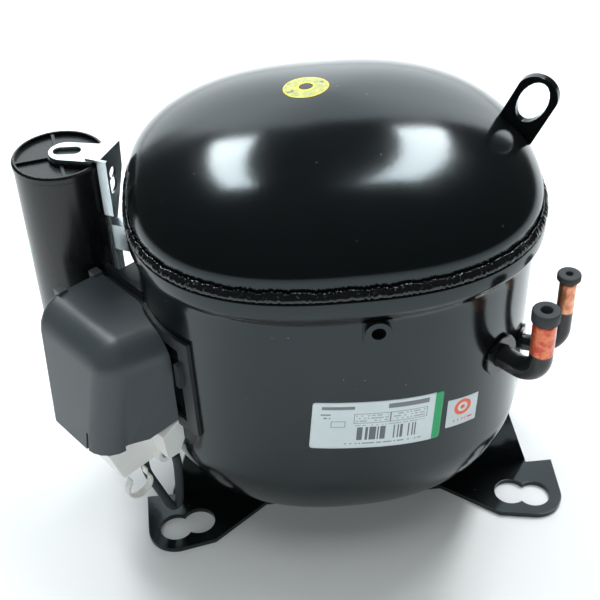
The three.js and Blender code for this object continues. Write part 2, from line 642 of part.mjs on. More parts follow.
const coverLug = (x) => block(x - 2.5, COVER_TOP.left + 0.6, COVER_TOP.z - 2, x + 2.5, COVER_TOP.left + 6, COVER_TOP.z + 2);
const coverBackRoom = seenFromBox(lofted(lowerLevels(2 * GAP + FRAME.thick)));
const coverLeftRoom = block(60, -100, 60, COVER_BACK_LEFT, COVER_TOP.right - 20, 160);
const cover = cut(
  joined(
    cut(coverBody(0, COVER_LOW.z, BOX_BACK), coverBody(COVER_WALL, COVER_LOW.z - 1, BOX_BACK - 1)),
    coverLug(COVER_BACK_LEFT + 2.5), coverLug(COVER_BACK_LEFT + 24)),
  coverNotch, coverSlit, sideWedge(), coverBackRoom, coverLeftRoom);
add(boxGroup, 'terminal_cover', cover, GREY_PLASTIC);
add(boxGroup, 'terminal_frame', terminalFrame(), BLACK_PLASTIC);

/** A body whose outline is given as points along and up, spread sideways to a length. */
function spread(points, long, left) {
  const [first, ...others] = points;
  const shape = new THREE.Shape();
  shape.moveTo(...first);
  others.forEach((point) => shape.lineTo(...point));
  shape.lineTo(...first);
  return placed(raised(shape, 0, long), 0, left, 0, 90);
}

/** White terminal block under the cover, with an open turret for the lead on its right end. */
function terminalBlock() {
  const top = COVER_LOW.z - GAP;
  const body = spread([[BLOCK.back, top], ...BLOCK_SIDE, [BLOCK.front, top]], BLOCK.long, BLOCK.left);
  const wingTop = top + COVER_RISE - BLOCK_WING.step;
  const wing = spread([
    [BLOCK_WING.back, BLOCK_WING.high], [BLOCK_WING.front - 9, BLOCK_WING.low],
    [BLOCK_WING.front - 2, BLOCK_WING.low], [BLOCK_WING.front, top + BLOCK_WING.shoulder],
    [BLOCK_WING.back + 4, wingTop], [BLOCK_WING.back, wingTop],
  ], BLOCK.wingLong, BLOCK.wingLeft);
  const turret = placed(rod(TURRET.radius, 0, TURRET.length), TURRET.x, TURRET.y, TURRET.z, 90);
  const bore = placed(rod(TURRET.bore, -1, TURRET.depth, 16), TURRET.x, TURRET.y, TURRET.z, 90);
  return cut(joined(body, wing, turret), bore, seenFromBox(shellOutside), terminalFrame());
}

add(boxGroup, 'terminal_block', terminalBlock(), WHITE_NYLON);

/** The open ring of a flat strap, hanging under the terminal block. */
function cableStrap() {
  const steps = 16;
  const arc = (radius) => range(steps + 1).map((i) => {
    const angle = rad(50 - (TIE.sweep * i) / steps);
    return [TIE.x + radius * Math.cos(angle), TIE.z + radius * Math.sin(angle)];
  });
  const outside = arc(TIE.outer);
  const inside = arc(TIE.inner).reverse();
  const points = [
    [outside[0][0] + 0.6, TIE.top], ...outside, [outside[steps][0] - 0.6, TIE.top + 0.9],
    [inside[0][0] - 0.2, TIE.top + 0.9], ...inside, [inside[steps][0] + 0.2, TIE.top],
  ];
  const shape = new THREE.Shape(points.map(([px, pz]) => new THREE.Vector2(px, pz)));
  return placed(raised(shape, 0, TIE.wide), -2, TIE.y, 0, 90);
}

add(boxGroup, 'cable_strap', cableStrap(), WHITE_NYLON);

const leadPath = new THREE.CatmullRomCurve3(LEAD_ROUTE.map((point) => new THREE.Vector3(...point)));
add(boxGroup, 'lead_loop', bar(leadPath, LEAD_R, 4, 26), RUBBER);

// ---------------------------------------------------------------- start capacitor

const canGroup = group(CAN_X, CAN_Y, 0);
const capLow = CAN_TOP_Z - CAP_HEIGHT;
add(canGroup, 'capacitor_can', rod(CAN_R, CAN_TOP_Z - CAN_LENGTH, capLow - GAP, 40), BLACK_PLASTIC);

const strapGroup = group(STRAP.x, STRAP.y, 0, STRAP.turn);

/** A body of the bracket's frame, in the capacitor's frame. */
const seenFromCan = (geometry) => placed(placed(geometry, 0, 0, 0, 0, 0, STRAP.turn), STRAP.x - CAN_X, STRAP.y - CAN_Y, 0);

/** The outline of the bracket's tongue, grown outwards by a distance. */
function tongueOutline(grow) {
  const radius = TONGUE.radius + grow;
  const shape = new THREE.Shape();
  shape.moveTo(-1 - grow, 3);
  shape.absarc(TONGUE.x, TONGUE.y, radius, Math.PI + 0.15, 0.25, true);
  shape.lineTo(17 + grow, 3);
  shape.lineTo(-1 - grow, 3);
  return shape;
}

/** End cap with a raised rim, four radial ribs and a pad under the bracket's tongue. */
function endCap() {
  const radius = CAN_R + CAP_LIP;
  const floor = CAN_TOP_Z - CAP_RECESS;
  const cup = turned([
    [0, capLow], [radius, capLow], [radius, CAN_TOP_Z - 1], [radius - 1, CAN_TOP_Z],
    [radius - CAP_RIM, CAN_TOP_Z], [radius - CAP_RIM, floor], [0, floor],
  ], 40);
  const rib = block(-radius + 1, -0.8, floor - 0.5, radius - 1, 0.8, CAN_TOP_Z - 0.6);
  const pad = common(
    seenFromCan(raised(tongueOutline(0.8), floor - 0.5, CAN_TOP_Z + 0.3)),
    rod(radius - 0.5, capLow, CAN_TOP_Z + 1, 40));
  return joined(cup, placed(rib, 0, 0, 0, 0, 0, 12), placed(rib, 0, 0, 0, 0, 0, 102), pad);
}

add(canGroup, 'capacitor_end_cap', endCap(), BLACK_PLASTIC);

/** Folded zinc bracket: tongue over the cap, a small step up, upright plate with a keyhole slot. */
function capacitorBracket() {
  const { thick, width, top, shoulder } = STRAP;
  const low = top - thick;
  const tongue = raised(tongueOutline(0), low - TONGUE.step, top - TONGUE.step);
  const slot = roundedRectangle(2 * TONGUE.slot, 2 * TONGUE.slotLength + TONGUE.slot, TONGUE.slot - 0.1);
  const slotTool = placed(raised(slot, low - 5, top + 5), TONGUE.x + 0.6, TONGUE.y - 0.6, 0, 0, 0, 25);
  const step = block(-0.4, -thick, low, width, 6.4, top);
  const side = new THREE.Shape();
  [[0, shoulder], [2.6, shoulder - 3], [3, 124], [8.6, 124], [9, 165], [12, 172], [width - 1, 190], [width, top],
    [0, top]].forEach(([x, z], i) => (i === 0 ? side.moveTo(x, z) : side.lineTo(x, z)));
  side.lineTo(0, shoulder);
  const plate = placed(raised(side, 0, thick), 0, 0, 0, 90);
  const fold = block(-0.4, -thick - 4, shoulder, thick - 0.4, 0, top);
  const keyhole = joined(
    placed(rod(KEYHOLE.small, -6, 6, 20), KEYHOLE.smallX, 0, KEYHOLE.smallZ, 90),
    placed(rod(KEYHOLE.big, -6, 6, 20), KEYHOLE.bigX, 0, KEYHOLE.bigZ, 90));
  return cut(joined(cut(tongue, slotTool), step, plate, fold), keyhole);
}

add(strapGroup, 'capacitor_bracket', capacitorBracket(), ZINC);

/** A body of the shell's frame, in the bracket's frame. */
const seenFromStrap = (geometry) => placed(
  placed(geometry, SHELL_X - STRAP.x, SHELL_Y - STRAP.y, 0), 0, 0, 0, 0, 0, -STRAP.turn);
const lug = block(1.5, -34, STRAP.lugLow, 10.5, -STRAP.thick - GAP, STRAP.lugHigh);
add(strapGroup, 'bracket_lug', cut(lug, seenFromStrap(shellOutside)), BLACK_PAINT);

// ---------------------------------------------------------------- pump unit, on the crank axis

const pumpGroup = group(CRANK_X, 0, 0, 0, shellGroup);
const corners = [[1, 1], [-1, 1], [-1, -1], [1, -1]].map(([x, y]) => [x * SPRING_PLACE, y * SPRING_PLACE]);

/** The radius of a many-sided hole whose flats lie outside a round of the given radius. */
const around = (radius, sides) => radius / Math.cos(Math.PI / sides);

/** A bar along +X at the cylinder's height. */
const cylinderBar = (radius, low, high, sides = 32) => placed(rod(radius, low, high, sides), 0, 0, CYLINDER_Z, 0, 90);

const statorTop = STATOR_BOTTOM_Z + STATOR_STACK;
const BOLT_R = 2.7;
const boltHoles = corners.map(([x, y]) => placed(rod(BOLT_R + GAP, 0, 132, 12), x, y, 0));
const stator = cut(
  raised(roundedRectangle(STATOR_SIDE, STATOR_SIDE, 16), STATOR_BOTTOM_Z, statorTop, 5),
  rod(around(ROTOR_R + AIR_GAP, 32), 0, 200, 32), ...boltHoles);
add(pumpGroup, 'stator_core', stator, STEEL);

/** A ring of bundled winding at one end of the stator. */
function endTurns(low, high) {
  const inner = ROTOR_R + AIR_GAP + 2.5;
  const outer = inner + 15;
  return turned([
    [inner, low + 2], [inner + 2, low], [outer - 3, low], [outer, low + 4], [outer, high - 4],
    [outer - 3, high], [inner + 2, high], [inner, high - 2], [inner, low + 2],
  ], 28);
}

add(pumpGroup, 'lower_end_turns', endTurns(STATOR_BOTTOM_Z - END_TURN_HEIGHT, STATOR_BOTTOM_Z - GAP), VARNISH);
add(pumpGroup, 'upper_end_turns', endTurns(statorTop + GAP, statorTop + END_TURN_HEIGHT), VARNISH);

const rotorLow = STATOR_BOTTOM_Z - 5;
const rotorHigh = statorTop + 5;
add(pumpGroup, 'rotor', pipe(ROTOR_R, JOURNAL_R + GAP, rotorLow, rotorHigh, 32), ALUMINIUM);
const weight = cut(
  pipe(31, 24, rotorHigh + GAP, rotorHigh + 7.5, 28),
  block(-2, -40, 0, 40, 40, 200));
add(pumpGroup, 'balance_weight', weight, CAST_IRON);

const shaftLow = STATOR_BOTTOM_Z - END_TURN_HEIGHT + 3;
const deckTop = DECK_Z + DECK_THICK;
const webLow = deckTop + 0.5;
const webHigh = PIN_LOW_Z - GAP;
const throwR = STROKE / 2;

/** Upright shaft with the crank web and its counterweight at the top. */
function crankshaft() {
  const half = cut(rod(25, webLow, webHigh, 36), block(3, -30, 0, 30, 30, 200));
  const eyeEnd = placed(rod(14, webLow, webHigh), throwR - 3, 0, 0);
  return joined(rod(JOURNAL_R, shaftLow, webHigh, 32), half, eyeEnd);
}

add(pumpGroup, 'crankshaft', crankshaft(), CAST_IRON);
add(pumpGroup, 'oil_pickup', turned([
  [2, 24], [3.6, 24], [8, 38], [8, shaftLow - GAP], [6.4, shaftLow - GAP], [6.4, 38.5], [2, 24],
], 20), STEEL);

const wristX = throwR + ROD_LENGTH;
const barrelEnd = wristX + PISTON_FRONT + 0.5;

/** Cast crankcase: deck, main bearing, four legs and the cylinder barrel with its bore. */
function crankcase() {
  const deck = raised(roundedRectangle(112, 104, 8), DECK_Z, deckTop, 3);
  const bearing = rod(22, DECK_Z - 13, deckTop, 32);
  const legs = corners.map(([x, y]) => placed(rod(8, LEG_Z, DECK_Z + 1, 16), x, y, 0));
  const barrel = block(BARREL.start, -BARREL.half, BARREL.low, barrelEnd, BARREL.half, BARREL.high);
  const chamfer = placed(block(-20, -200, -20, 20, 200, 20), (BARREL.start + barrelEnd) / 2, 0, BARREL.high + 18, 0, 0, 0);
  return cut(
    joined(deck, bearing, barrel, ...legs),
    rod(around(JOURNAL_R + RUNNING_CLEARANCE, 32), 0, 200, 32),
    cylinderBar(around(BORE / 2, 32), BARREL.start - 5, barrelEnd + 5),
    chamfer,
    ...boltHoles);
}

add(pumpGroup, 'crankcase', crankcase(), CAST_IRON);

const rodLow = CYLINDER_Z - ROD_THICK / 2;
const rodHigh = CYLINDER_Z + ROD_THICK / 2;
const WRIST_R = 5;
add(pumpGroup, 'crankpin', placed(rod(CRANKPIN_R, PIN_LOW_Z, rodHigh + 4, 24), throwR, 0, 0), STEEL);

/** Connecting rod with its big end round the crankpin and its small end round the wrist pin. */
function connectingRod() {
  const bigEnd = placed(rod(13, rodLow, rodHigh, 28), throwR, 0, 0);
  const shank = block(throwR, -5, CYLINDER_Z - 4, wristX, 5, CYLINDER_Z + 4);
  const smallEnd = placed(rod(9, rodLow, rodHigh, 24), wristX, 0, 0);
  return cut(
    joined(bigEnd, shank, smallEnd),
    placed(rod(CRANKPIN_R + GAP, 0, 300, 24), throwR, 0, 0),
    placed(rod(around(WRIST_R + RUNNING_CLEARANCE, 20), 0, 300, 20), wristX, 0, 0));
}

add(pumpGroup, 'connecting_rod', connectingRod(), CAST_IRON);

const pistonR = BORE / 2 - PISTON_CLEARANCE;
const wristHalf = pistonR - 3;
add(pumpGroup, 'wrist_pin', placed(rod(WRIST_R, CYLINDER_Z - wristHalf, CYLINDER_Z + wristHalf, 20), wristX, 0, 0), STEEL);

/** Hollow piston, open towards the crank. */
function piston() {
  const body = cylinderBar(pistonR, wristX - PISTON_BACK, wristX + PISTON_FRONT);
  const hollow = cylinderBar(pistonR - 3.7, wristX - PISTON_BACK - 1, wristX + PISTON_FRONT - 4, 28);
  const pinHole = placed(rod(around(WRIST_R + GAP, 20), CYLINDER_Z - 40, CYLINDER_Z + 40, 20), wristX, 0, 0);
  return cut(body, hollow, pinHole);
}

add(pumpGroup, 'piston', piston(), STEEL);

/** A plate of the cylinder head stack. */
const headPlate = (low, thick) => block(
  low, -BARREL.half, BARREL.low + 3, low + thick, BARREL.half, BARREL.high);
const gasketX = barrelEnd + GAP;
const valveX = gasketX + PLATE_STACK.gasket + GAP;
const headX = valveX + PLATE_STACK.valves + GAP;
const port = (y, radius) => placed(rod(radius, 0, 300, 16), 0, y, CYLINDER_Z, 0, 90);
add(pumpGroup, 'head_gasket', cut(headPlate(gasketX, PLATE_STACK.gasket), cylinderBar(BORE / 2 + 1, 0, 200)), BLACK_PLASTIC);
add(pumpGroup, 'valve_plate', cut(headPlate(valveX, PLATE_STACK.valves), port(8, 4), port(-8, 3)), STEEL);
add(pumpGroup, 'cylinder_head', cut(
  headPlate(headX, PLATE_STACK.head),
  block(headX - 1, -20, CYLINDER_Z - 18, headX + 11, -2, CYLINDER_Z + 18),
  block(headX - 1, 2, CYLINDER_Z - 18, headX + 11, 20, CYLINDER_Z + 18)), ALUMINIUM);
add(pumpGroup, 'suction_muffler', placed(
  raised(roundedRectangle(44, 26, 8), 160, 203, 4), 42, BARREL.half + 15, 0), BLACK_PLASTIC);

/** One coil spring on its upright axis. */
function spring() {
  const low = SPRING_LOW_Z + SPRING_WIRE_R;
  const rise = SPRING_HIGH_Z - SPRING_WIRE_R - low;
  const points = range(8 * SPRING_TURNS + 1).map((i) => {
    const angle = (Math.PI / 4) * i;
    const z = low + (rise * i) / (8 * SPRING_TURNS);
    return new THREE.Vector3(SPRING_R * Math.cos(angle), SPRING_R * Math.sin(angle), z);
  });
  return bar(new THREE.CatmullRomCurve3(points), SPRING_WIRE_R, 3, 8 * SPRING_TURNS);
}

corners.forEach(([x, y], i) => {
  add(pumpGroup, `spring_${i + 1}`, spring(), STEEL).position.set(x, y, 0);
  const bolt = turned([
    [0, SPRING_HIGH_Z - 10.7], [5.5, SPRING_HIGH_Z - 10.7], [5.5, SPRING_HIGH_Z + GAP], [9, SPRING_HIGH_Z + GAP],
    [9, STATOR_BOTTOM_Z - GAP], [BOLT_R, STATOR_BOTTOM_Z - GAP], [BOLT_R, LEG_Z + 13.7], [0, LEG_Z + 13.7],
  ], 16);
  add(pumpGroup, `stator_bolt_${i + 1}`, bolt, STEEL).position.set(x, y, 0);
});

/** Pressed plate on the shell's floor, with a post inside each spring. */
function springCradle() {
  const frame = cut(
    raised(roundedRectangle(2 * SPRING_PLACE + 24, 2 * SPRING_PLACE + 24, 12), 29, 31.2, 4),
    raised(roundedRectangle(2 * SPRING_PLACE - 20, 2 * SPRING_PLACE - 20, 10), 20, 40, 4));
  const posts = corners.flatMap(([x, y]) => [
    placed(rod(5.5, 30, 46, 16), x, y, 0),
    placed(rod(10, 28, SPRING_LOW_Z - GAP, 20), x, y, 0),
  ]);
  const room = placed(lofted(lowerLevels(-SHELL_WALL - GAP, 4)), -CRANK_X, 0, 0);
  return common(joined(frame, ...posts), room);
}

add(pumpGroup, 'spring_cradle', springCradle(), STEEL);

// The loop runs from the cylinder head's front face into the discharge tube, in the shell's frame.
const headSide = new THREE.Vector3(CRANK_X + headX + PLATE_STACK.head / 2, -BARREL.half - GAP, CYLINDER_Z);
const dischargeOut = new THREE.Vector3(Math.cos(rad(DISCHARGE.turn)), Math.sin(rad(DISCHARGE.turn)), 0);
const inlet = discharge.start;
const loopPath = new THREE.CatmullRomCurve3([
  headSide,
  headSide.clone().add(new THREE.Vector3(0, -8, -1)),
  new THREE.Vector3(headSide.x - 8, headSide.y - 19, CYLINDER_Z - 12),
  new THREE.Vector3(headSide.x - 19, headSide.y - 20, CYLINDER_Z - 27),
  new THREE.Vector3(headSide.x - 23, headSide.y - 12, CYLINDER_Z - 42),
  inlet.clone().addScaledVector(dischargeOut, -16).add(new THREE.Vector3(0, 0, 5)),
  inlet.clone().addScaledVector(dischargeOut, -7),
  inlet.clone().addScaledVector(dischargeOut, 6),
]);
add(shellGroup, 'discharge_loop', bar(loopPath, 2.4, 4, 28), COPPER);

// ---------------------------------------------------------------- origin

const footprint = new THREE.Box3().setFromObject(whole, true);
const middle = footprint.getCenter(new THREE.Vector3());
whole.position.set(-middle.x, -middle.y, 0);

export default whole;
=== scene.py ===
"""The finish of a hermetic reciprocating compressor: gloss black welded shell, feet, stub tubes,
capacitor, terminal box, and the motor and pump inside. Everything is in metres."""

import bpy
import numpy as np
from mathutils import Matrix


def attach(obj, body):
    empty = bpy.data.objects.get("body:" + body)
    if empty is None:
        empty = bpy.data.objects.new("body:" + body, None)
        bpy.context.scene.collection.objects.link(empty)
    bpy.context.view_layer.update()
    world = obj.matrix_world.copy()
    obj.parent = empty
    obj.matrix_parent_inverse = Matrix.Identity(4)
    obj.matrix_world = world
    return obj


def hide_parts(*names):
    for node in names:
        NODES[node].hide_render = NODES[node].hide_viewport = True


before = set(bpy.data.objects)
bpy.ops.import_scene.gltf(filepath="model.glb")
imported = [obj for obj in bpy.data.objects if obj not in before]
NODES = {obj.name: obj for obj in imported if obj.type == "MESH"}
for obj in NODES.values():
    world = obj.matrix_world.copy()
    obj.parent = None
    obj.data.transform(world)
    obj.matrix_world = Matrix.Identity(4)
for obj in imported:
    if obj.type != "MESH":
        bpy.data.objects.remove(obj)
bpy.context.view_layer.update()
MM = 0.001
FULL_TURN = 2 * np.pi

# The base holes' centre lies at these offsets from the frame's origin, in millimetres.
HOLES_X, HOLES_Y = 23.5, -3.0
SHELL_X, SHELL_Y = HOLES_X - 5, HOLES_Y + 3
BOX_TURN = np.radians(216.9)
# The crank's axis stands off the shell's middle.
CRANK_X = SHELL_X - 16

# The start capacitor's middle.
CAN_X, CAN_Y = HOLES_X - 141.1, HOLES_Y + 29.3

# The shell: half sizes, the powers of its two ovals, and its heights, in millimetres.
HALF_LENGTH, HALF_WIDTH = 101.9, 91.5
WALL_POWER, RIM_POWER = 2.3, 2.54
WALL_TOP, BOWL_TOP, BOWL_RADIUS = 170.0, 69.0, 56.0
DRAFT, WALL_INSET, WALL_THICK = 0.016, 0.4, 3.0
LEDGE_Z, RIM_TOP, RIM_ROUND = 180.0, 187.6, 1.2
RIM_OUT_X, RIM_OUT_Y = 2.5, 3.7
SKIRT_TOP, DOME_RISE, DOME_POWER = 195.7, 44.3, 1.68

# The two bent stubs. place is x, y, z and turn where each leaves the wall, how far it reaches, the
# height of its top and the radius of its bend. band is the lacquered length, in metres.
SUCTION = dict(
    place=(70, -63, 124, -52, 24.5, 166, 13), outer=5.8, inner=4.8, band=(0.1405, 0.1700),
    plug=dict(radius=6.8, height=6.5, hole=2.8, stem=4.6, depth=9))
DISCHARGE = dict(
    place=(86, -44, 113, -24, 20.7, 161, 14), outer=4.3, inner=3.4, band=(0.1385, 0.1700),
    plug=dict(radius=5.9, height=3.4, hole=1.7, stem=3.2, depth=9))
ROOT_DEPTH, PLUG_GAP = 14, 0.3

# The short lead's middle line: outward from the shell, across the box, and height.
LEAD_RADIUS = 2.4
LEAD_ROUTE = [
    (118.6, -32, 53), (118.2, -31, 44), (114.6, -29, 31), (109.5, -27, 15), (105.8, -27, 11.6),
    (104.4, -25, 17), (104, -23.5, 31), (104.8, -21.2, 48), (106.6, -19.4, 58.5),
]

# The labels' corners on the front wall, as x from the shell's middle and height, and their sizes.
RATING_CORNERS = [(-23.1, 92.2), (42.7, 87.1), (-20.4, 123.4), (44.5, 118.8)]
RATING_SIZE = (65, 31)
SMALL_CORNERS = [(45.9, 91.5), (62.8, 89.0), (46.8, 110.3), (63.8, 107.1)]
SMALL_SIZE = (19, 18.5)
LABEL_LIFT = 0.08

# The ring sticker's middle, its hole and its edge.
STICKER_X, STICKER_Y = HOLES_X - 15.8, HOLES_Y + 10.4
STICKER_HOLE, STICKER_EDGE, STICKER_LIFT = 3.4, 11.2, 0.07

CAMERA_PLACE = (-0.0344, -0.5000, 0.5161)
CAMERA_FORWARD = (0.0519, 0.7746, -0.6303)
CAMERA_RIGHT = (0.9951, -0.0936, -0.0331)
LIT_HEIGHT = 0.18
FLOOR_REACH = 6.0
PALE_LIGHT = (0.90, 0.97, 1.0)

scene = bpy.context.scene
scene.view_settings.view_transform = "Standard"


# ---------------------------------------------------------------- camera, light and floor


def add_camera():
    """A long lens in front of the object, above it and turned a little to the left."""
    lens = bpy.data.cameras.new("camera")
    lens.lens = 71.387
    lens.sensor_width = 36
    lens.shift_x = 0.00265
    lens.shift_y = 0.01358
    lens.clip_end = 50
    camera = bpy.data.objects.new("camera", lens)
    forward = np.array(CAMERA_FORWARD)
    forward /= np.linalg.norm(forward)
    right = np.array(CAMERA_RIGHT)
    right -= forward * right.dot(forward)
    right /= np.linalg.norm(right)
    up = np.cross(right, forward)
    turn = np.eye(4)
    turn[:3, 0], turn[:3, 1], turn[:3, 2] = right, up, -forward
    turn[:3, 3] = CAMERA_PLACE
    camera.matrix_world = Matrix(turn.tolist())
    scene.collection.objects.link(camera)
    scene.camera = camera


def add_fill(name, azimuth, elevation, distance, width, height, radiance):
    """A soft rectangular lamp that faces the object and leaves no reflection in gloss. Azimuth is
    from +Y towards +X, in degrees."""
    lamp = bpy.data.lights.new(name, "AREA")
    lamp.shape = "RECTANGLE"
    lamp.size, lamp.size_y = width, height
    lamp.energy = radiance * np.pi * width * height
    lamp.color = (0.96, 0.99, 1.0)
    panel = bpy.data.objects.new(name, lamp)
    outward = direction(azimuth, elevation)
    a = np.radians(azimuth)
    across = np.array((np.cos(a), -np.sin(a), 0.0))
    turn = np.eye(4)
    turn[:3, 0], turn[:3, 1], turn[:3, 2] = across, np.cross(outward, across), outward
    turn[:3, 3] = outward * distance + (0, 0, LIT_HEIGHT)
    panel.matrix_world = Matrix(turn.tolist())
    panel.visible_camera = False
    panel.visible_glossy = False
    scene.collection.objects.link(panel)


def direction(azimuth, elevation):
    """The unit direction at an azimuth from +Y towards +X and an elevation, in degrees."""
    a, e = np.radians(azimuth), np.radians(elevation)
    return np.stack(np.broadcast_arrays(np.sin(a) * np.cos(e), np.cos(a) * np.cos(e), np.sin(e)), -1)


def add_glow(name, azimuths, elevations, distance, strength, colour):
    """A pale lit sheet. Its grid of azimuths and elevations lies on a sphere round the object."""
    points = direction(azimuths, elevations) * distance + (0, 0, LIT_HEIGHT)
    mesh = grid_mesh(name, points)
    glow = Finish(name, {"Base Color": (0, 0, 0, 1), "Roughness": 1.0, "Specular IOR Level": 0.0,
                         "Emission Color": (*colour, 1), "Emission Strength": strength})
    mesh.materials.append(glow.material)
    sheet = bpy.data.objects.new(name, mesh)
    sheet.visible_camera = False
    sheet.visible_shadow = False
    scene.collection.objects.link(sheet)


def corner_sheet(corners, count=6):
    """Azimuths and elevations of a sheet whose four corners are given, blended between them."""
    u, v = np.meshgrid(np.linspace(0, 1, count), np.linspace(0, 1, count))
    first, second, third, fourth = (np.array(corner, float) for corner in corners)
    u, v = u[..., None], v[..., None]
    both = first * (1 - u) * (1 - v) + second * u * (1 - v) + third * u * v + fourth * (1 - u) * v
    return both[..., 0], both[..., 1]


def add_studio():
    """Two softboxes above and behind the object, a low arched backdrop, fill light and a floor."""
    left = corner_sheet([(-27.4, 32.6), (-20.8, 47.0), (-53.2, 71.1), (-55.5, 59.1)])
    right = corner_sheet([(31.2, 49.4), (37.5, 32.6), (72.6, 67.3), (63.1, 81.7)])
    add_glow("left_softbox", *left, 2.0, 20, (0.96, 0.99, 1.0))
    add_glow("right_softbox", *right, 2.0, 20, (0.97, 0.99, 1.0))
    # The backdrop stands 5 degrees off the middle, from 3 degrees under the level up to an arch.
    across = np.linspace(-36, 36, 25)[None, :]
    up = np.linspace(0, 1, 10)[:, None]
    arch = 54 * (1 - np.abs(across / 36.5) ** 3)
    add_glow("backdrop", across + 5 + 0 * up, -3 + (arch + 3) * up, 2.6, 1.9, PALE_LIGHT)
    add_fill("top_fill", 0, 88, 2.4, 2.6, 2.6, 1.6)
    add_fill("front_fill", 200, 24, 2.4, 2.6, 1.8, 1.3)
    world = bpy.data.worlds.new("studio")
    scene.world = world
    world.use_nodes = True
    background = world.node_tree.nodes["Background"]
    background.inputs["Color"].default_value = (*PALE_LIGHT, 1)
    background.inputs["Strength"].default_value = 0.05
    side = np.array([-FLOOR_REACH, FLOOR_REACH])
    x, y = np.meshgrid(side, side)
    mesh = grid_mesh("floor", np.stack([x, y, 0 * x], -1))
    floor = bpy.data.objects.new("floor", mesh)
    scene.collection.objects.link(floor)
    paint = Finish("floor_white", {"Roughness": 0.9, "Specular IOR Level": 0.1})
    tone = paint.noise(0.8, 2)
    paint.feed("Base Color", paint.mix(tone, (0.86, 0.88, 0.89), (0.90, 0.92, 0.92)))
    mesh.materials.append(paint.material)
    add_horizon()


def add_horizon():
    """A white haze over the far floor that fades in with distance, and a white wall behind it.
    Both are seen only directly, so they leave no light or reflection on the object."""
    haze_start, haze_full, above_floor, wall_height = 0.8, 1.7, 0.0005, 7.0
    reach = np.array([haze_start, 1.2, haze_full, FLOOR_REACH, FLOOR_REACH])[:, None]
    height = np.array([above_floor] * 4 + [wall_height])[:, None]
    turn = np.linspace(0, FULL_TURN, 65)[None, :]
    points = np.stack([reach * np.cos(turn), reach * np.sin(turn), height + 0 * turn], -1)
    mesh = grid_mesh("horizon", points)
    haze = Finish("haze", {"Base Color": (0, 0, 0, 1), "Roughness": 1.0, "Specular IOR Level": 0.0,
                           "Emission Color": (1, 1, 1, 1), "Emission Strength": 1.0})
    x, y = haze.axis("X"), haze.axis("Y")
    haze.feed("Alpha", ((x * x + y * y) ** 0.5).rise(haze_start, haze_full))
    mesh.materials.append(haze.material)
    horizon = bpy.data.objects.new("horizon", mesh)
    horizon.visible_glossy = False
    horizon.visible_diffuse = False
    horizon.visible_transmission = False
    horizon.visible_shadow = False
    scene.collection.objects.link(horizon)


# ---------------------------------------------------------------- shader maths


class Value:
    """A shader value. Sums, products and comparisons on it add Math nodes to its finish."""

    def __init__(self, finish, socket):
        self.finish = finish
        self.socket = socket

    def math(self, operation, *others):
        return self.finish.add("Math", {"operation": operation}, dict(enumerate((self, *others))))

    def math_after(self, operation, other):
        return self.finish.add("Math", {"operation": operation}, {0: other, 1: self})

    def __add__(self, other):
        return self.math("ADD", other)

    def __radd__(self, other):
        return self.math("ADD", other)

    def __sub__(self, other):
        return self.math("SUBTRACT", other)

    def __rsub__(self, other):
        return self.math_after("SUBTRACT", other)

    def __mul__(self, other):
        return self.math("MULTIPLY", other)

    def __rmul__(self, other):
        return self.math("MULTIPLY", other)

    def __pow__(self, other):
        return self.math("POWER", other)

    def __gt__(self, other):
        return self.math("GREATER_THAN", other)

    def __lt__(self, other):
        return self.math("LESS_THAN", other)

    def rise(self, low, high):
        """0 below low, 1 above high and a smooth step between them."""
        settings = {"interpolation_type": "SMOOTHSTEP"}
        return self.finish.add("MapRange", settings, {"Value": self, "From Min": low, "From Max": high})

    def between(self, low, high, soft=0.0005):
        """1 between low and high and 0 outside, with soft edges."""
        return self.rise(low - soft, low + soft) * (1 - self.rise(high - soft, high + soft))


class Finish:
    """One procedural material: the nodes that vary it, and the shader that they feed."""

    def __init__(self, name, fixed):
        self.material = bpy.data.materials.new(name)
        self.material.use_nodes = True
        self.tree = self.material.node_tree
        self.tree.nodes.clear()
        self.shader = self.tree.nodes.new("ShaderNodeBsdfPrincipled")
        self.output = self.tree.nodes.new("ShaderNodeOutputMaterial")
        self.tree.links.new(self.shader.outputs[0], self.output.inputs["Surface"])
        for socket, value in fixed.items():
            self.shader.inputs[socket].default_value = value
        self.place = self.add("TexCoord", {}, {}, "Object")

    def add(self, kind, settings, inputs, output=0):
        """Adds a node of a type, first its settings, then the values or links of its sockets."""
        made = self.tree.nodes.new("ShaderNode" + kind)
        for key, value in settings.items():
            setattr(made, key, value)
        for key, value in inputs.items():
            if isinstance(value, Value):
                self.tree.links.new(value.socket, made.inputs[key])
            elif isinstance(value, tuple) and made.inputs[key].type == "RGBA":
                made.inputs[key].default_value = (*value, 1)
            else:
                made.inputs[key].default_value = value
        return Value(self, made.outputs[output])

    def feed(self, socket, value):
        self.tree.links.new(value.socket, self.shader.inputs[socket])

    def mix(self, factor, first, second):
        """The first colour where factor is 0 and the second where it is 1."""
        return self.add("Mix", {"data_type": "RGBA"}, {0: factor, 6: first, 7: second}, 2)

    def noise(self, scale, detail=3, rough=0.5, place=None):
        """Soft noise from 0 to 1, about 1 / scale metres from one spot to the next."""
        inputs = {"Vector": place or self.place, "Scale": scale, "Detail": detail, "Roughness": rough}
        return self.add("TexNoise", {}, inputs, 0)

    def stretched(self, scales):
        """The place with each axis multiplied, for streaks."""
        return self.add("Mapping", {}, {"Vector": self.place, "Scale": scales})

    def cells(self, scale):
        """Distance to the nearest of many scattered points."""
        return self.add("TexVoronoi", {}, {"Vector": self.place, "Scale": scale, "Randomness": 1.0}, 0)

    def axis(self, letter, place=None):
        """One coordinate of the place, in metres."""
        return self.add("SeparateXYZ", {}, {0: place or self.place}, letter)

    def bump(self, height, distance, strength=1.0):
        inputs = {"Height": height, "Distance": distance, "Strength": strength}
        self.feed("Normal", self.add("Bump", {}, inputs))


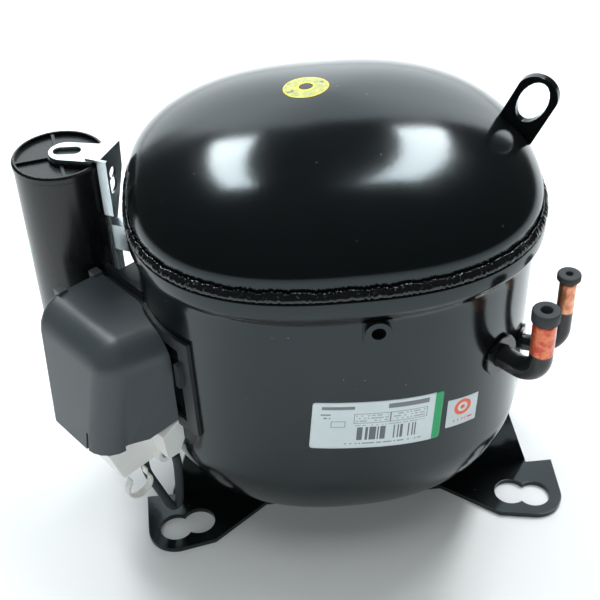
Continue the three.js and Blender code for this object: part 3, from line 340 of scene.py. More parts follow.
def edge_wear(finish):
    """Light where edges stick out, from a surface's own curvature, which is 0.5 where it's flat."""
    return finish.add("NewGeometry", {}, {}, "Pointiness").rise(0.542, 0.675)


def paler(colour, times, more=0.0):
    """A colour made brighter, and never above 1."""
    return tuple(min(1.0, part * times + more) for part in colour)


# ---------------------------------------------------------------- finishes


def gloss_black(name, peel, tone):
    """Baked gloss black paint: a slight ripple, faint dull clouds and tiny dust specks."""
    paint = Finish(name, {"IOR": 1.5, "Specular Tint": (0.80, 0.95, 1.0, 1)})
    ripple = paint.noise(420, 2)
    cloud = paint.noise(28, 3)
    speck = paint.cells(150) < 0.035
    speck = speck * (paint.noise(60, 0) > 0.60)
    paint.feed("Base Color", paint.mix(speck, (tone, tone * 1.2, tone * 1.3), (0.30, 0.32, 0.31)))
    paint.feed("Roughness", 0.10 + cloud * 0.10 + speck * 0.4)
    paint.bump(ripple + speck * 2.0, peel, 0.8)
    return paint.material


def weld_paint():
    """Paint over a weld: hard gloss on lumps and ripples, with a paler colour painted on the lump tops
    as painted glints.
    """
    paint = Finish("weld_paint", {"IOR": 1.55})
    lump = paint.noise(520, 4, 0.62)
    pit = paint.cells(700)
    painted_glint = lump.rise(0.58, 0.70)
    # The lump tops are painted a paler grey: a painted glint, standing in for the light the bead
    # catches.
    paint.feed("Base Color", paint.mix(painted_glint, (0.005, 0.006, 0.0065), (0.06, 0.065, 0.066)))
    paint.feed("Roughness", 0.10 + painted_glint * 0.14)
    paint.bump(lump + pit * 0.3, 0.00016, 0.9)
    return paint.material


def moulded(name, dark, light, rough):
    """Moulded plastic: fine grain, faint flow clouds and edges rubbed a little paler."""
    paint = Finish(name, {"IOR": 1.47})
    flow = paint.noise(35, 4)
    fine = paint.noise(2600, 2)
    worn = edge_wear(paint)
    base = paint.mix(flow, dark, light)
    paint.feed("Base Color", paint.mix(worn * 0.25, base, paler(light, 2.2, 0.02)))
    paint.feed("Roughness", rough - 0.05 + flow * 0.1)
    paint.bump(fine, 0.00003, 0.7)
    return paint.material


def nylon(name, colour, sheer=0.0):
    """Natural nylon: milky, a little see-through, with soft gloss."""
    paint = Finish(name, {"IOR": 1.5, "Subsurface Weight": 0.15, "Subsurface Scale": 0.002,
                          "Transmission Weight": sheer})
    cloud = paint.noise(90, 3)
    paint.feed("Base Color", paint.mix(cloud, paler(colour, 0.90), colour))
    paint.feed("Roughness", 0.30 + paint.noise(1500, 2) * 0.14)
    paint.bump(paint.noise(1800, 2), 0.00003, 0.6)
    return paint.material


def zinc():
    """Zinc-plated sheet: pale blue-silver, spangled, with fine rolling streaks."""
    paint = Finish("zinc_plate", {})
    streak = paint.noise(900, 2, 0.6, paint.stretched((1.0, 1.0, 0.06)))
    spangle = paint.noise(240, 3)
    paint.feed("Base Color", paint.mix(spangle, (0.50, 0.58, 0.61), (0.72, 0.79, 0.80)))
    paint.feed("Metallic", 0.92 + spangle * 0.08)
    paint.feed("Roughness", 0.20 + streak * 0.22)
    paint.bump(streak + spangle * 0.5, 0.00003, 0.6)
    return paint.material


def metal(name, dark, light, rough, grain=800, relief=0.00004):
    """Bare metal with a machined or cast grain and stains."""
    paint = Finish(name, {"Metallic": 1.0})
    stain = paint.noise(45, 4)
    fine = paint.noise(grain, 3, 0.6)
    worn = edge_wear(paint)
    base = paint.mix(stain, dark, light)
    paint.feed("Base Color", paint.mix(worn * 0.4, base, paler(light, 1.5)))
    paint.feed("Roughness", rough - 0.08 + fine * 0.2)
    paint.bump(fine, relief, 0.8)
    return paint.material


def laminations():
    """Stacked electrical steel: dark edges of 0.5 mm sheets with a bluish oxide."""
    paint = Finish("laminations", {"Metallic": 0.8})
    height = paint.axis("Z")
    sheet = (height * (FULL_TURN / (0.5 * MM))).math("SINE")
    stain = paint.noise(60, 3)
    paint.feed("Base Color", paint.mix(stain, (0.10, 0.11, 0.13), (0.22, 0.23, 0.25)))
    paint.feed("Roughness", 0.42 + stain * 0.2)
    paint.bump(sheet + stain, 0.00008, 0.8)
    return paint.material


def winding():
    """Varnished copper wire laid round the motor, tied with cord."""
    paint = Finish("winding", {"Coat Roughness": 0.2})
    x, y, z = (paint.axis(letter) for letter in "XYZ")
    x = x - CRANK_X * MM
    y = y - SHELL_Y * MM
    reach = (x * x + y * y) ** 0.5
    wander = paint.noise(120, 2) * 0.0012
    per_wire = FULL_TURN / (0.9 * MM)
    wire = ((reach + wander) * per_wire).math("SINE") + ((z + wander) * per_wire).math("SINE")
    angle = y.math("ARCTAN2", x)
    tie = (angle * 24).math("SINE").rise(0.93, 0.98)
    shade = paint.mix(paint.noise(200, 3), (0.36, 0.12, 0.04), (0.62, 0.27, 0.10))
    paint.feed("Base Color", paint.mix(tie, shade, (0.62, 0.58, 0.45)))
    paint.feed("Metallic", 0.75 - tie * 0.75)
    paint.feed("Coat Weight", 0.7 - tie * 0.5)
    paint.feed("Roughness", 0.30 + paint.noise(300, 2) * 0.15)
    paint.bump(wire * 0.5 + tie * 1.5, 0.0003, 0.8)
    return paint.material


def rubber(name="dark_rubber"):
    """Moulded rubber: matt, finely pebbled, dusty."""
    paint = Finish(name, {"IOR": 1.45})
    dust = paint.noise(220, 4)
    paint.feed("Base Color", paint.mix(dust, (0.018, 0.022, 0.025), (0.045, 0.052, 0.056)))
    paint.feed("Roughness", 0.58 + dust * 0.15)
    paint.bump(paint.noise(1500, 3), 0.00006, 0.8)
    return paint.material


def tube_paint(name, low, high, red):
    """Black tube with a band of lacquered copper between two heights."""
    paint = Finish(name, {})
    height = paint.axis("Z") + paint.noise(160, 2) * 0.0018 - 0.0009
    band = height.between(low, high, 0.0006)
    blotch = paint.noise(210, 4, 0.62)
    if red:
        copper = paint.mix(blotch.rise(0.38, 0.62), (0.60, 0.045, 0.018), (0.78, 0.20, 0.07))
    else:
        copper = paint.mix(blotch.rise(0.3, 0.7), (0.42, 0.13, 0.05), (0.80, 0.36, 0.20))
    smoke = blotch.rise(0.66, 0.78) * 0.55
    copper = paint.mix(smoke, copper, (0.05, 0.02, 0.012))
    paint.feed("Base Color", paint.mix(band, (0.010, 0.0115, 0.013), copper))
    paint.feed("Metallic", band * (0.35 if red else 0.85))
    paint.feed("Roughness", 0.14 + band * 0.16 + paint.noise(500, 2) * 0.06)
    paint.feed("Coat Weight", band * 0.6)
    paint.bump(blotch, 0.00006, 0.7)
    return paint.material


def can_paint():
    """The capacitor's black lacquered can, with a small green strip beside the bracket."""
    paint = Finish("can_black", {"IOR": 1.5})
    x = paint.axis("X") - CAN_X * MM
    y = paint.axis("Y") - CAN_Y * MM
    z = paint.axis("Z")
    angle = y.math("ARCTAN2", x)
    patch = angle.between(-2.98, -2.72, 0.01) * z.between(0.143, 0.158, 0.0003)
    stripe = (z * (FULL_TURN / 0.0021)).math("SINE").rise(0.55, 0.75) * patch
    streak = paint.noise(260, 3, 0.6, paint.stretched((1.0, 1.0, 0.08)))
    base = paint.mix(streak, (0.003, 0.0036, 0.004), (0.007, 0.0082, 0.009))
    green = paint.mix(stripe, (0.02, 0.42, 0.10), (0.006, 0.05, 0.02))
    paint.feed("Base Color", paint.mix(patch, base, green))
    paint.feed("Roughness", 0.20 + streak * 0.12)
    paint.bump(streak, 0.00002, 0.7)
    return paint.material


def bars(finish, u, count, seed):
    """Upright bars of uneven width along u, for a plain bar pattern."""
    cell = (u * count + seed * 13.7).math("FLOOR")
    odd = finish.add("TexWhiteNoise", {"noise_dimensions": "1D"}, {"W": cell})
    return odd > 0.45


def box_line(u, v, left, right, low, high, wide):
    """A thin outline round a rectangle of the label."""
    outer = u.between(left, right, 0.0002) * v.between(low, high, 0.0002)
    inner = u.between(left + wide, right - wide, 0.0002) * v.between(low + wide, high - wide, 0.0002)
    return outer - inner


def dashes(finish, u, v, left, right, low, high, rows, seed):
    """Rows of short uneven dashes that stand for print."""
    row = (v - low) * (rows / (high - low))
    line = row.math("FRACT").between(0.28, 0.72, 0.04)
    cell = (u * 1150 + row.math("FLOOR") * 31.7 + seed * 7.1).math("FLOOR")
    odd = finish.add("TexWhiteNoise", {"noise_dimensions": "1D"}, {"W": cell})
    inside = u.between(left, right, 0.0002) * v.between(low, high, 0.0002)
    return line * (odd > 0.36) * inside


def rating_plate():
    """The big foil label: a pale field with thin boxes, dashes and bars, and a green end strip.
    Its UV map is in metres from the label's lower left corner, 65 mm by 31 mm."""
    paint = Finish("rating_plate", {"IOR": 1.5})
    flat = paint.add("UVMap", {"uv_map": "label"}, {})
    u, v = paint.axis("X", flat), paint.axis("Y", flat)
    ink = bars(paint, u, 1500, 3) * u.between(0.0225, 0.0520, 0.0001) * v.between(0.0055, 0.0142, 0.0001)
    marks = (
        box_line(u, v, 0.0205, 0.0385, 0.0168, 0.0232, 0.0003),
        box_line(u, v, 0.0385, 0.0570, 0.0168, 0.0232, 0.0003),
        box_line(u, v, 0.0095, 0.0165, 0.0145, 0.0185, 0.0003),
        u.between(0.0045, 0.0205, 0.0002) * v.between(0.0262, 0.0282, 0.0002) * 0.9,
        u.between(0.0370, 0.0575, 0.0002) * v.between(0.0258, 0.0288, 0.0002) * 0.9,
        dashes(paint, u, v, 0.0215, 0.0375, 0.0175, 0.0226, 3, 1) * 0.6,
        dashes(paint, u, v, 0.0395, 0.0560, 0.0175, 0.0226, 3, 2) * 0.6,
        dashes(paint, u, v, 0.0205, 0.0560, 0.0147, 0.0160, 1, 4) * 0.6,
        dashes(paint, u, v, 0.0035, 0.0090, 0.0195, 0.0240, 2, 5) * 0.8,
        dashes(paint, u, v, 0.0145, 0.0560, 0.0022, 0.0042, 1, 6) * 0.7,
    )
    for mark in marks:
        ink = ink + mark
    ink = ink.math("MINIMUM", 1.0)
    cloud = paint.noise(70, 3)
    field = paint.mix(cloud, (0.60, 0.69, 0.71), (0.70, 0.77, 0.78))
    inked = paint.mix(ink * 0.85, field, (0.03, 0.04, 0.045))
    paint.feed("Base Color", paint.mix(u.rise(0.0606, 0.0608), inked, (0.010, 0.36, 0.13)))
    paint.feed("Metallic", 0.15 * (1 - ink))
    paint.feed("Roughness", 0.30 + cloud * 0.12)
    paint.bump(paint.noise(900, 2), 0.00002, 0.6)
    return paint.material


def small_plate():
    """The small silver label: an orange dot between two leaning strokes over a row of dashes.
    Its UV map is in metres, 19 mm by 18.5 mm."""
    paint = Finish("small_plate", {"IOR": 1.5})
    flat = paint.add("UVMap", {"uv_map": "label"}, {})
    u, v = paint.axis("X", flat), paint.axis("Y", flat)
    across, height = u - 0.0096, v - 0.0120
    reach = (across * across + height * height) ** 0.5
    ring = reach.between(0.0030, 0.0052, 0.0001)
    dot = 1 - reach.rise(0.0013, 0.0015)
    row = dashes(paint, u, v, 0.0025, 0.0165, 0.0022, 0.0050, 1, 8)
    ink = (ring + dot + row).math("MINIMUM", 1.0)
    cloud = paint.noise(80, 3)
    field = paint.mix(cloud, (0.50, 0.57, 0.59), (0.64, 0.70, 0.71))
    paint.feed("Base Color", paint.mix(ink, field, (0.88, 0.13, 0.045)))
    paint.feed("Metallic", 0.35 * (1 - ink))
    paint.feed("Roughness", 0.28 + cloud * 0.12)
    paint.bump(paint.noise(900, 2), 0.00002, 0.6)
    return paint.material


def ring_sticker():
    """The ring sticker on the dome: bright yellow edges and a mottled green-yellow band.
    Its UV map holds the distance from the middle and the turn, in metres and radians."""
    paint = Finish("ring_sticker", {"IOR": 1.45})
    flat = paint.add("UVMap", {"uv_map": "label"}, {})
    reach, turn = paint.axis("X", flat), paint.axis("Y", flat)
    rim = 1 - reach.between(0.0045, 0.0106, 0.0003)
    mottle = paint.noise(420, 3).rise(0.35, 0.65)
    band = paint.mix(mottle, (0.34, 0.38, 0.13), (0.52, 0.52, 0.14))
    blot = paint.noise(330, 4).rise(0.58, 0.66) * (turn.math("COSINE").math("ABSOLUTE").rise(0.55, 0.8))
    band = paint.mix(blot * 0.8, band, (0.05, 0.075, 0.08))
    paint.feed("Base Color", paint.mix(rim, band, (0.78, 0.66, 0.03)))
    paint.feed("Roughness", 0.38 + mottle * 0.1)
    paint.bump(mottle, 0.00003, 0.6)
    return paint.material


# ---------------------------------------------------------------- surfaces


def grid_mesh(name, points, wrap_u=False, wrap_v=False):
    """A mesh of quads from a grid of points, shape (rows, columns, 3). wrap_u joins the last column
    to the first and wrap_v the last row to the first."""
    rows, columns = points.shape[:2]
    row = np.arange(rows if wrap_v else rows - 1)
    column = np.arange(columns if wrap_u else columns - 1)
    r, c = np.meshgrid(row, column, indexing="ij")
    r2, c2 = (r + 1) % rows, (c + 1) % columns
    quads = np.stack([r * columns + c, r * columns + c2, r2 * columns + c2, r2 * columns + c], -1)
    mesh = bpy.data.meshes.new(name)
    mesh.from_pydata(points.reshape(-1, 3).tolist(), [], quads.reshape(-1, 4).tolist())
    return mesh


def surface(name, points, material, body, stands_for=(), wrap_u=False, wrap_v=False, label_map=None):
    """A finished, smooth piece from a grid of points in millimetres, riding on a body."""
    mesh = grid_mesh(name, points * MM, wrap_u, wrap_v)
    if label_map is not None:
        layer = mesh.uv_layers.new(name="label")
        corners = np.empty(len(mesh.loops), dtype=np.int32)
        mesh.loops.foreach_get("vertex_index", corners)
        layer.data.foreach_set("uv", label_map.reshape(-1, 2)[corners].astype(np.float32).ravel())
    mesh.polygons.foreach_set("use_smooth", np.ones(len(mesh.polygons), dtype=bool))
    mesh.materials.append(material)
    piece = bpy.data.objects.new(name, mesh)
    scene.collection.objects.link(piece)
    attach(piece, body)
    if stands_for:
        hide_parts(*stands_for)
    return piece


def weld_together(piece, reach=1e-6):
    """Merges points that lie closer together than the reach, as at the poles."""
    piece.modifiers.new("merge", "WELD").merge_threshold = reach


def lay_foil(piece, thickness):
    """Gives a label its thickness, in millimetres, inward from its face."""
    foil = piece.modifiers.new("foil", "SOLIDIFY")
    foil.thickness = thickness * MM
    foil.offset = -1


def oval(turn, half_x, half_y, power):
    """Where the ray at angle turn meets the oval |x / a|^n + |y / b|^n = 1."""
    reach = (np.abs(np.cos(turn) / half_x) ** power + np.abs(np.sin(turn) / half_y) ** power)
    reach = reach ** (-1 / power)
    return reach * np.cos(turn), reach * np.sin(turn)


def stack_of_ovals(heights, inset_x, inset_y, power, columns=288):
    """Rings at the given heights, each an oval drawn in by its insets from the shell's widest size."""
    turn = np.linspace(0, FULL_TURN, columns, endpoint=False)[None, :]
    x, y = oval(turn, (HALF_LENGTH - inset_x)[:, None], (HALF_WIDTH - inset_y)[:, None], power[:, None])
    z = np.broadcast_to(heights[:, None], x.shape)
    return np.stack([x + SHELL_X, y + SHELL_Y, z], -1)


def ease(low, high, count):
    """Numbers from low to high, closer together at both ends."""
    return low + (high - low) * (1 - np.cos(np.linspace(0, np.pi, count))) / 2


def wall_inset(z):
    """How far the tapering wall lies inside the shell's widest size at a height."""
    return WALL_INSET + (WALL_TOP - z) * DRAFT


def lower_shell_profile(thick):
    """Heights, insets and powers from the bottom's middle up to the rim, moved in by a thickness."""
    turn = np.linspace(0, np.pi / 2, 40)
    # The bottom is a quarter circle of the bowl's radius that runs in to a flat middle.
    flat = np.linspace(0, 1, 6)[:-1]
    bowl_z = BOWL_TOP - (BOWL_RADIUS - thick) * np.cos(turn)
    bowl_in = wall_inset(BOWL_TOP) + BOWL_RADIUS - (BOWL_RADIUS - thick) * np.sin(turn)
    pole_x, pole_y = HALF_LENGTH - 0.01, HALF_WIDTH - 0.01
    flat_in_x = pole_x - (pole_x - bowl_in[0]) * flat
    flat_in_y = pole_y - (pole_y - bowl_in[0]) * flat
    wall_z = np.linspace(BOWL_TOP, WALL_TOP, 26)[1:]
    wall_in = wall_inset(wall_z) + thick
    z = np.concatenate([np.full(flat.size, bowl_z[0]), bowl_z, wall_z])
    inset_x = np.concatenate([flat_in_x, bowl_in, wall_in])
    inset_y = np.concatenate([flat_in_y, bowl_in, wall_in])
    return z, inset_x, inset_y, np.full(z.size, WALL_POWER)


def add_lower_shell(material):
    """Deep drawn cup: bowl, straight wall, an S-shaped step out to the rim, the rim's rounded top,
    then the same profile one wall thickness further in, back down to the middle."""
    z, in_x, in_y, power = lower_shell_profile(0.0)
    step = np.linspace(0, 1, 13)[1:]
    smooth = step * step * (3 - 2 * step)
    ledge_z = WALL_TOP + (LEDGE_Z - WALL_TOP) * step
    ledge_x = WALL_INSET + (-RIM_OUT_X - WALL_INSET) * smooth
    ledge_y = WALL_INSET + (-RIM_OUT_Y - WALL_INSET) * smooth
    ledge_power = WALL_POWER + (RIM_POWER - WALL_POWER) * smooth
    round_turn = np.linspace(0, np.pi / 2, 6)
    round_z = RIM_TOP - RIM_ROUND + RIM_ROUND * np.sin(round_turn)
    rim_z = np.concatenate([[LEDGE_Z + 3], round_z, [RIM_TOP, RIM_TOP - 1]])
    rim_in = np.concatenate([[0], RIM_ROUND - RIM_ROUND * np.cos(round_turn)])
    rim_x = np.concatenate([-RIM_OUT_X + rim_in, [-0.6, -0.5]])
    rim_y = np.concatenate([-RIM_OUT_Y + rim_in, [-0.6, -0.5]])
    inner_z, inner_x, inner_y, inner_power = (part[::-1] for part in lower_shell_profile(WALL_THICK))
    seat = np.array([LEDGE_Z - 0.5])
    points = stack_of_ovals(
        np.concatenate([z, ledge_z, rim_z, seat, inner_z]),
        np.concatenate([in_x, ledge_x, rim_x, [-0.5], inner_x]),
        np.concatenate([in_y, ledge_y, rim_y, [-0.5], inner_y]),
        np.concatenate([power, ledge_power, np.full(rim_z.size + 1, RIM_POWER), inner_power]),
    )
    weld_together(surface("shell_cup", points, material, "shell", ["lower_shell"], wrap_u=True))


def add_upper_shell(material):
    """Domed lid: a straight skirt inside the rim, then a dome whose plan shrinks as
    cos(phi)^(2 / n) while it rises as sin(phi)^(2 / n), and the same 3 mm further in."""
    phi = ease(0, np.pi / 2, 96)
    rise = DOME_RISE * np.sin(phi) ** (2 / DOME_POWER)
    share = np.maximum(np.cos(phi) ** (2 / DOME_POWER), 0.0001)
    skirt = np.linspace(LEDGE_Z + 0.3, SKIRT_TOP, 8)[:-1]
    z = np.concatenate([skirt, SKIRT_TOP + rise])
    size = np.concatenate([np.ones(skirt.size), share])
    in_x, in_y = HALF_LENGTH * (1 - size), HALF_WIDTH * (1 - size)
    inner_size = size[::-1]
    inner_rise = rise * (DOME_RISE - WALL_THICK) / DOME_RISE
    inner_z = np.concatenate([skirt, SKIRT_TOP + inner_rise])[::-1]
    inner_x = HALF_LENGTH - (HALF_LENGTH - WALL_THICK) * inner_size
    inner_y = HALF_WIDTH - (HALF_WIDTH - WALL_THICK) * inner_size
    points = stack_of_ovals(
        np.concatenate([z, inner_z, z[:1]]),
        np.concatenate([in_x, inner_x, in_x[:1]]),
        np.concatenate([in_y, inner_y, in_y[:1]]),
        np.full(z.size * 2 + 1, RIM_POWER),
    )
    weld_together(surface("shell_dome", points, material, "shell", ["upper_shell"], wrap_u=True))


def smooth_lumps(turn, lowest, highest, seed):
    """A sum of sine waves round the oval with seeded strengths, scaled to about -1 to 1."""
    chance = np.random.default_rng(seed)
    waves = np.arange(lowest, highest, 3)
    strength = chance.normal(0, 1, waves.size) / np.sqrt(waves.size)
    start = chance.uniform(0, FULL_TURN, waves.size)
    return (strength * np.sin(turn[..., None] * waves + start)).sum(-1)


def add_weld_bead(material):
    """The weld between lid and rim: a low rounded section carried round the oval, whose height and
    overhang wander with the welder's ripples."""
    rise = np.array([0.0, 0.0, 0.7, 1.6, 2.7, 3.6, 4.25, 4.6, 4.65, 4.4, 3.0])
    share = np.array([0.09, 0.98, 1.1, 1.13, 0.98, 0.76, 0.56, 0.36, 0.22, 0.12, 0.09])
    columns = 1800
    turn = np.linspace(0, FULL_TURN, columns, endpoint=False)[None, :]
    ripple = smooth_lumps(turn[0], 90, 330, 4)
    swell = smooth_lumps(turn[0], 12, 60, 9)
    lift = np.clip(1 + 0.07 * ripple + 0.08 * swell - 0.08, 0.6, 1.03)
    reach = np.clip(1 + 0.08 * smooth_lumps(turn[0], 80, 300, 12) - 0.05, 0.75, 1.03)
    # The feet of the section keep still, and its outer points wander.
    wander = share[:, None] * np.where(share[:, None] > 0.1, reach, 1)
    out_x = RIM_OUT_X * wander
    out_y = RIM_OUT_Y * wander
    x, y = oval(turn, HALF_LENGTH + out_x, HALF_WIDTH + out_y, RIM_POWER)
    z = RIM_TOP + 0.3 + rise[:, None] * lift
    points = np.stack([x + SHELL_X, y + SHELL_Y, z], -1)
    surface("weld_seam", points, material, "shell", ["weld_bead"], wrap_u=True, wrap_v=True)


def turned(name, centre, radii, heights, material, body, stands_for=(), columns=64):
    """A turned piece: the profile of radii and heights carried round a vertical axis."""
    turn = np.linspace(0, FULL_TURN, columns, endpoint=False)[None, :]
    radii, heights = np.array(radii, float), np.array(heights, float)
    x = centre[0] + radii[:, None] * np.cos(turn)
    y = centre[1] + radii[:, None] * np.sin(turn)
    z = np.broadcast_to(heights[:, None], x.shape)
    piece = surface(name, np.stack([x, y, z], -1), material, body, stands_for, wrap_u=True)
    weld_together(piece)
    return piece


def sweep(name, path, side, rings, material, body, stands_for=(), columns=40, open_ended=False):
    """A round section carried along a path. rings lists (path index, radius); side is a direction
    that each section's across axis stays close to."""
    along = np.gradient(path, axis=0)
    along /= np.linalg.norm(along, axis=1)[:, None]
    across = side - along * (along @ side)[:, None]
    across /= np.linalg.norm(across, axis=1)[:, None]
    other = np.cross(along, across)
    index = np.array([ring[0] for ring in rings])
    radius = np.array([ring[1] for ring in rings], float)[:, None, None]
    turn = np.linspace(0, FULL_TURN, columns, endpoint=False)[None, :, None]
    points = path[index][:, None] + radius * (np.cos(turn) * across[index][:, None]
                                              + np.sin(turn) * other[index][:, None])
    piece = surface(name, points, material, body, stands_for, wrap_u=True, wrap_v=not open_ended)
    weld_together(piece)
    return piece


def stub_path(x, y, z, turn, reach, top, bend, plug_height):
    """A stub's middle line: out of the wall, a quarter circle upward, then straight up."""
    inset = wall_inset(z)
    root_x, root_y = oval(np.arctan2(y, x), HALF_LENGTH - inset, HALF_WIDTH - inset, WALL_POWER)
    root = np.array([root_x, root_y, z])
    out = np.array([np.cos(np.radians(turn)), np.sin(np.radians(turn)), 0.0])
    start = root - out * ROOT_DEPTH
    bend_start = root + out * (reach - bend)
    quarter = np.linspace(0, np.pi / 2, 22)[1:, None]
    up = np.array([0, 0, 1.0])
    level = start + (bend_start - start) * np.linspace(0, 1, 10)[:, None]
    curve = bend_start + out * bend * np.sin(quarter) + up * bend * (1 - np.cos(quarter))
    end = curve[-1].copy()
    end[2] = top - plug_height - PLUG_GAP
    rise = curve[-1] + (end - curve[-1]) * np.linspace(0, 1, 14)[1:, None]
    path = np.concatenate([level, curve, rise]) + (SHELL_X, SHELL_Y, 0)
    return path, out


def add_stub(name, tube, body, plug_node, stub, material, rubber_finish):
    """A bent stub tube with a rounded lip, and its rubber plug with a blind hole."""
    plug, outer = stub["plug"], stub["outer"]
    path, out = stub_path(*stub["place"], plug["height"])
    last = len(path) - 1
    forward = [(i, outer) for i in range(last)] + [(last, outer - 0.25)]
    back = [(i, stub["inner"]) for i in range(last, -1, -1)]
    side = np.cross(out, (0, 0, 1.0))
    sweep(name, path, side, forward + back, material, "shell", [tube])
    x, y = path[-1][:2]
    upper = path[-1][2] + PLUG_GAP + plug["height"]
    under = upper - plug["height"]
    low = under - plug["depth"]
    r, hole, stem = plug["radius"], plug["hole"], plug["stem"]
    soft = 0.9
    arc = np.linspace(0, np.pi / 2, 6)
    radii = [0.001, stem - 0.6, stem, stem, r - 0.5, r, r]
    heights = [low, low, low + 0.8, under, under, under + 0.5, upper - soft]
    radii += (r - soft + soft * np.cos(arc)).tolist()[1:]
    heights += (upper - soft + soft * np.sin(arc)).tolist()[1:]
    radii += [hole + 0.5, hole + 0.15, hole, hole, hole - 0.4, 0.001]
    heights += [upper, upper - 0.12, upper - 0.5, under - 1.5, under - 2.2, under - 2.4]
    turned(name + "_stopper", (x, y), radii, heights, rubber_finish, body, [plug_node], 56)


def box_point(d, s, z):
    """A point of the terminal box: d outward from the shell, s across it, in the frame."""
    c, n = np.cos(BOX_TURN), np.sin(BOX_TURN)
    return np.stack([HOLES_X + d * c - s * n, HOLES_Y + d * n + s * c, z], -1)


def smooth_path(points, steps):
    """A Catmull-Rom curve through the points: each span is a cubic in its own parameter."""
    p = np.concatenate([[2 * points[0] - points[1]], points, [2 * points[-1] - points[-2]]])
    t = np.linspace(0, 1, steps, endpoint=False)[:, None]
    spans = [0.5 * (2 * b + (c - a) * t + (2 * a - 5 * b + 4 * c - d) * t ** 2
                    + (3 * b - a - 3 * c + d) * t ** 3)
             for a, b, c, d in zip(p, p[1:], p[2:], p[3:])]
    return np.concatenate(spans + [points[-1:]])


def add_lead_loop(material):
    """The short lead that leaves the block and turns back in under it."""
    path = smooth_path(box_point(*np.array(LEAD_ROUTE, float).T), 12)
    side = box_point(0.0, 1.0, 0.0) - box_point(0.0, 0.0, 0.0)
    last = len(path) - 1
    rings = [(0, 0.001)] + [(i, LEAD_RADIUS) for i in range(last + 1)] + [(last, 0.001)]
    sweep("lead_wire", path, side, rings, material, "shell", ["lead_loop"], 24, True)


def wall_point(x, z, out):
    """The front wall's y at a given x and height, moved outward, with the shell's oval at z."""
    inset = wall_inset(z) - out
    half_x, half_y = HALF_LENGTH - inset, HALF_WIDTH - inset
    local = (x - SHELL_X) / half_x
    return SHELL_Y - half_y * (1 - np.abs(local) ** WALL_POWER) ** (1 / WALL_POWER)


def label_sheet(name, corners, size, material, radius):
    """A label that hugs the front wall. Its four corners, low left, low right, high left and high
    right, are blended across the sheet, and y is the wall's at each x and height. Points beyond the
    rounded corners' centres are drawn in from squares to circles."""
    u = np.linspace(0, 1, 56)
    v = np.linspace(0, 1, 28)
    width, height = size
    uu, vv = np.meshgrid(u * width, v * height)
    cx = np.clip(uu, radius, width - radius)
    cy = np.clip(vv, radius, height - radius)
    dx, dy = uu - cx, vv - cy
    far = np.maximum(np.hypot(dx, dy), 1e-9)
    square = np.maximum(np.abs(dx), np.abs(dy))
    scale = np.where(far > 1e-6, square / far, 1)
    uu, vv = cx + dx * scale, cy + dy * scale
    low_left, low_right, high_left, high_right = (np.array(c, float) for c in corners)
    a, b = (uu / width)[..., None], (vv / height)[..., None]
    flat = (low_left * (1 - a) * (1 - b) + low_right * a * (1 - b) + high_left * (1 - a) * b
            + high_right * a * b)
    x, z = flat[..., 0] + SHELL_X, flat[..., 1]
    front = np.stack([x, wall_point(x, z, LABEL_LIFT), z], -1)
    piece = surface(name, front, material, "shell", label_map=np.stack([uu, vv], -1) * MM)
    lay_foil(piece, LABEL_LIFT * 0.8)


def add_ring_sticker(material):
    """A ring laid over the dome, from its hole out to its edge. With p the size of the rim's oval
    through a point, as a share, the dome's height there is rise * (1 - p^n)^(1 / n)."""
    reach = np.linspace(STICKER_HOLE, STICKER_EDGE, 12)[:, None]
    turn = np.linspace(0, FULL_TURN, 73)[None, :]
    x, y = STICKER_X + reach * np.cos(turn), STICKER_Y + reach * np.sin(turn)
    plan = (np.abs((x - SHELL_X) / HALF_LENGTH) ** RIM_POWER
            + np.abs((y - SHELL_Y) / HALF_WIDTH) ** RIM_POWER) ** (1 / RIM_POWER)
    z = SKIRT_TOP + DOME_RISE * (1 - plan ** DOME_POWER) ** (1 / DOME_POWER) + STICKER_LIFT
    spread = np.stack(np.broadcast_arrays(reach * MM, turn), -1)
    piece = surface("ring_sticker", np.stack([x, y, z], -1), material, "shell", label_map=spread)
    lay_foil(piece, 0.06)


# ---------------------------------------------------------------- CAD nodes


def shading_group():
    """Geometry nodes that shade faces smooth and keep edges over 32 degrees sharp."""
    group = bpy.data.node_groups.new("crease_shading", "GeometryNodeTree")
    group.interface.new_socket("Geometry", in_out="INPUT", socket_type="NodeSocketGeometry")
    group.interface.new_socket("Geometry", in_out="OUTPUT", socket_type="NodeSocketGeometry")
    start = group.nodes.new("NodeGroupInput")
    end = group.nodes.new("NodeGroupOutput")
    faces = group.nodes.new("GeometryNodeSetShadeSmooth")
    edges = group.nodes.new("GeometryNodeSetShadeSmooth")
    edges.domain = "EDGE"
    angle = group.nodes.new("GeometryNodeInputMeshEdgeAngle")
    steep = group.nodes.new("FunctionNodeCompare")
    steep.data_type = "FLOAT"
    steep.operation = "GREATER_THAN"
    steep.inputs[1].default_value = np.radians(32)
    edges.inputs["Shade Smooth"].default_value = False
    group.links.new(start.outputs[0], faces.inputs["Geometry"])
    group.links.new(faces.outputs[0], edges.inputs["Geometry"])
    group.links.new(angle.outputs[0], steep.inputs[0])
    group.links.new(steep.outputs[0], edges.inputs["Selection"])
    group.links.new(edges.outputs[0], end.inputs[0])
    return group


CREASES = shading_group()


def dress(names, material, edge):
    """Gives CAD nodes a finish and softly rounded edges, the edge radius in millimetres."""
    for name in names.split():
        node = NODES[name]
        node.data.materials.clear()
        node.data.materials.append(material)
        weld_together(node, 2e-6)
        flats = node.modifiers.new("flats", "DECIMATE")
        flats.decimate_type = "DISSOLVE"
        flats.angle_limit = np.radians(0.6)
        if edge:
            bevel = node.modifiers.new("edges", "BEVEL")
            bevel.width = edge * MM
            bevel.segments = 2
            bevel.limit_method = "ANGLE"
            bevel.angle_limit = np.radians(34)
        shade = node.modifiers.new("creases", "NODES")
        shade.node_group = CREASES
        even = node.modifiers.new("even_normals", "WEIGHTED_NORMAL")
        even.keep_sharp = True


add_camera()
add_studio()

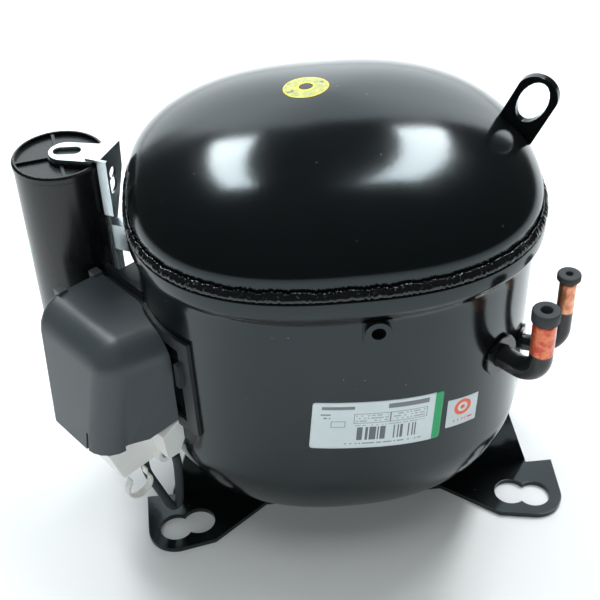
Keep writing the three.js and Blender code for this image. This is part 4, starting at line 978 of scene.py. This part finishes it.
shell_finish = gloss_black("shell_gloss", 0.00002, 0.004)
bracket_finish = gloss_black("bracket_gloss", 0.00005, 0.005)
rubber_finish = rubber()
dark_plastic = moulded("cover_plastic", (0.040, 0.050, 0.056), (0.052, 0.064, 0.070), 0.40)
frame_plastic = moulded("frame_plastic", (0.012, 0.014, 0.016), (0.022, 0.026, 0.029), 0.34)
white_nylon = nylon("white_nylon", (0.90, 0.91, 0.89))
clear_nylon = nylon("strap_nylon", (0.90, 0.90, 0.86), 0.25)
steel = metal("ground_steel", (0.38, 0.37, 0.36), (0.56, 0.55, 0.53), 0.28)
iron = metal("cast_iron", (0.10, 0.10, 0.11), (0.19, 0.19, 0.19), 0.5, 900, 0.00025)
aluminium = metal("cast_aluminium", (0.55, 0.56, 0.57), (0.72, 0.73, 0.74), 0.36, 700, 0.0001)
spring_steel = metal("spring_wire", (0.16, 0.16, 0.17), (0.30, 0.29, 0.28), 0.30)
bare_copper = metal("bare_copper", (0.50, 0.19, 0.09), (0.78, 0.38, 0.22), 0.30)

add_lower_shell(shell_finish)
add_upper_shell(shell_finish)
add_weld_bead(weld_paint())
add_stub("suction_stub", "suction_tube", "suction_cap", "suction_plug", SUCTION,
         tube_paint("suction_lacquer", *SUCTION["band"], True), rubber_finish)
add_stub("discharge_stub", "discharge_tube", "discharge_cap", "discharge_plug", DISCHARGE,
         tube_paint("discharge_lacquer", *DISCHARGE["band"], False), rubber_finish)
add_lead_loop(rubber_finish)
label_sheet("rating_label", RATING_CORNERS, RATING_SIZE, rating_plate(), 1.6)
label_sheet("small_label", SMALL_CORNERS, SMALL_SIZE, small_plate(), 0.4)
add_ring_sticker(ring_sticker())

dress("front_base_bracket rear_base_bracket lifting_eye threaded_boss", bracket_finish, 0.5)
dress("suction_collar discharge_collar", weld_paint(), 0.5)
dress("capacitor_can capacitor_end_cap", can_paint(), 0.4)
dress("capacitor_bracket bracket_lug", zinc(), 0.25)
dress("terminal_cover", dark_plastic, 0.6)
dress("terminal_frame start_relay overload_protector", frame_plastic, 0.3)
dress("terminal_block", white_nylon, 0.35)
dress("cable_strap", clear_nylon, 0.2)
dress("stator_core", laminations(), 0)
dress("lower_end_turns upper_end_turns", winding(), 0.8)
dress("crankshaft oil_pickup crankpin connecting_rod wrist_pin piston valve_plate "
      "terminal_feedthrough terminal_pin_1 terminal_pin_2 terminal_pin_3 "
      "stator_bolt_1 stator_bolt_2 stator_bolt_3 stator_bolt_4", steel, 0.2)
dress("crankcase balance_weight spring_cradle", iron, 0.5)
dress("rotor cylinder_head", aluminium, 0.4)
dress("head_gasket", rubber("gasket_sheet"), 0)
dress("suction_muffler", moulded("muffler_plastic", (0.03, 0.03, 0.03), (0.05, 0.05, 0.05), 0.45), 0.6)
dress("spring_1 spring_2 spring_3 spring_4", spring_steel, 0)
dress("discharge_loop", bare_copper, 0)
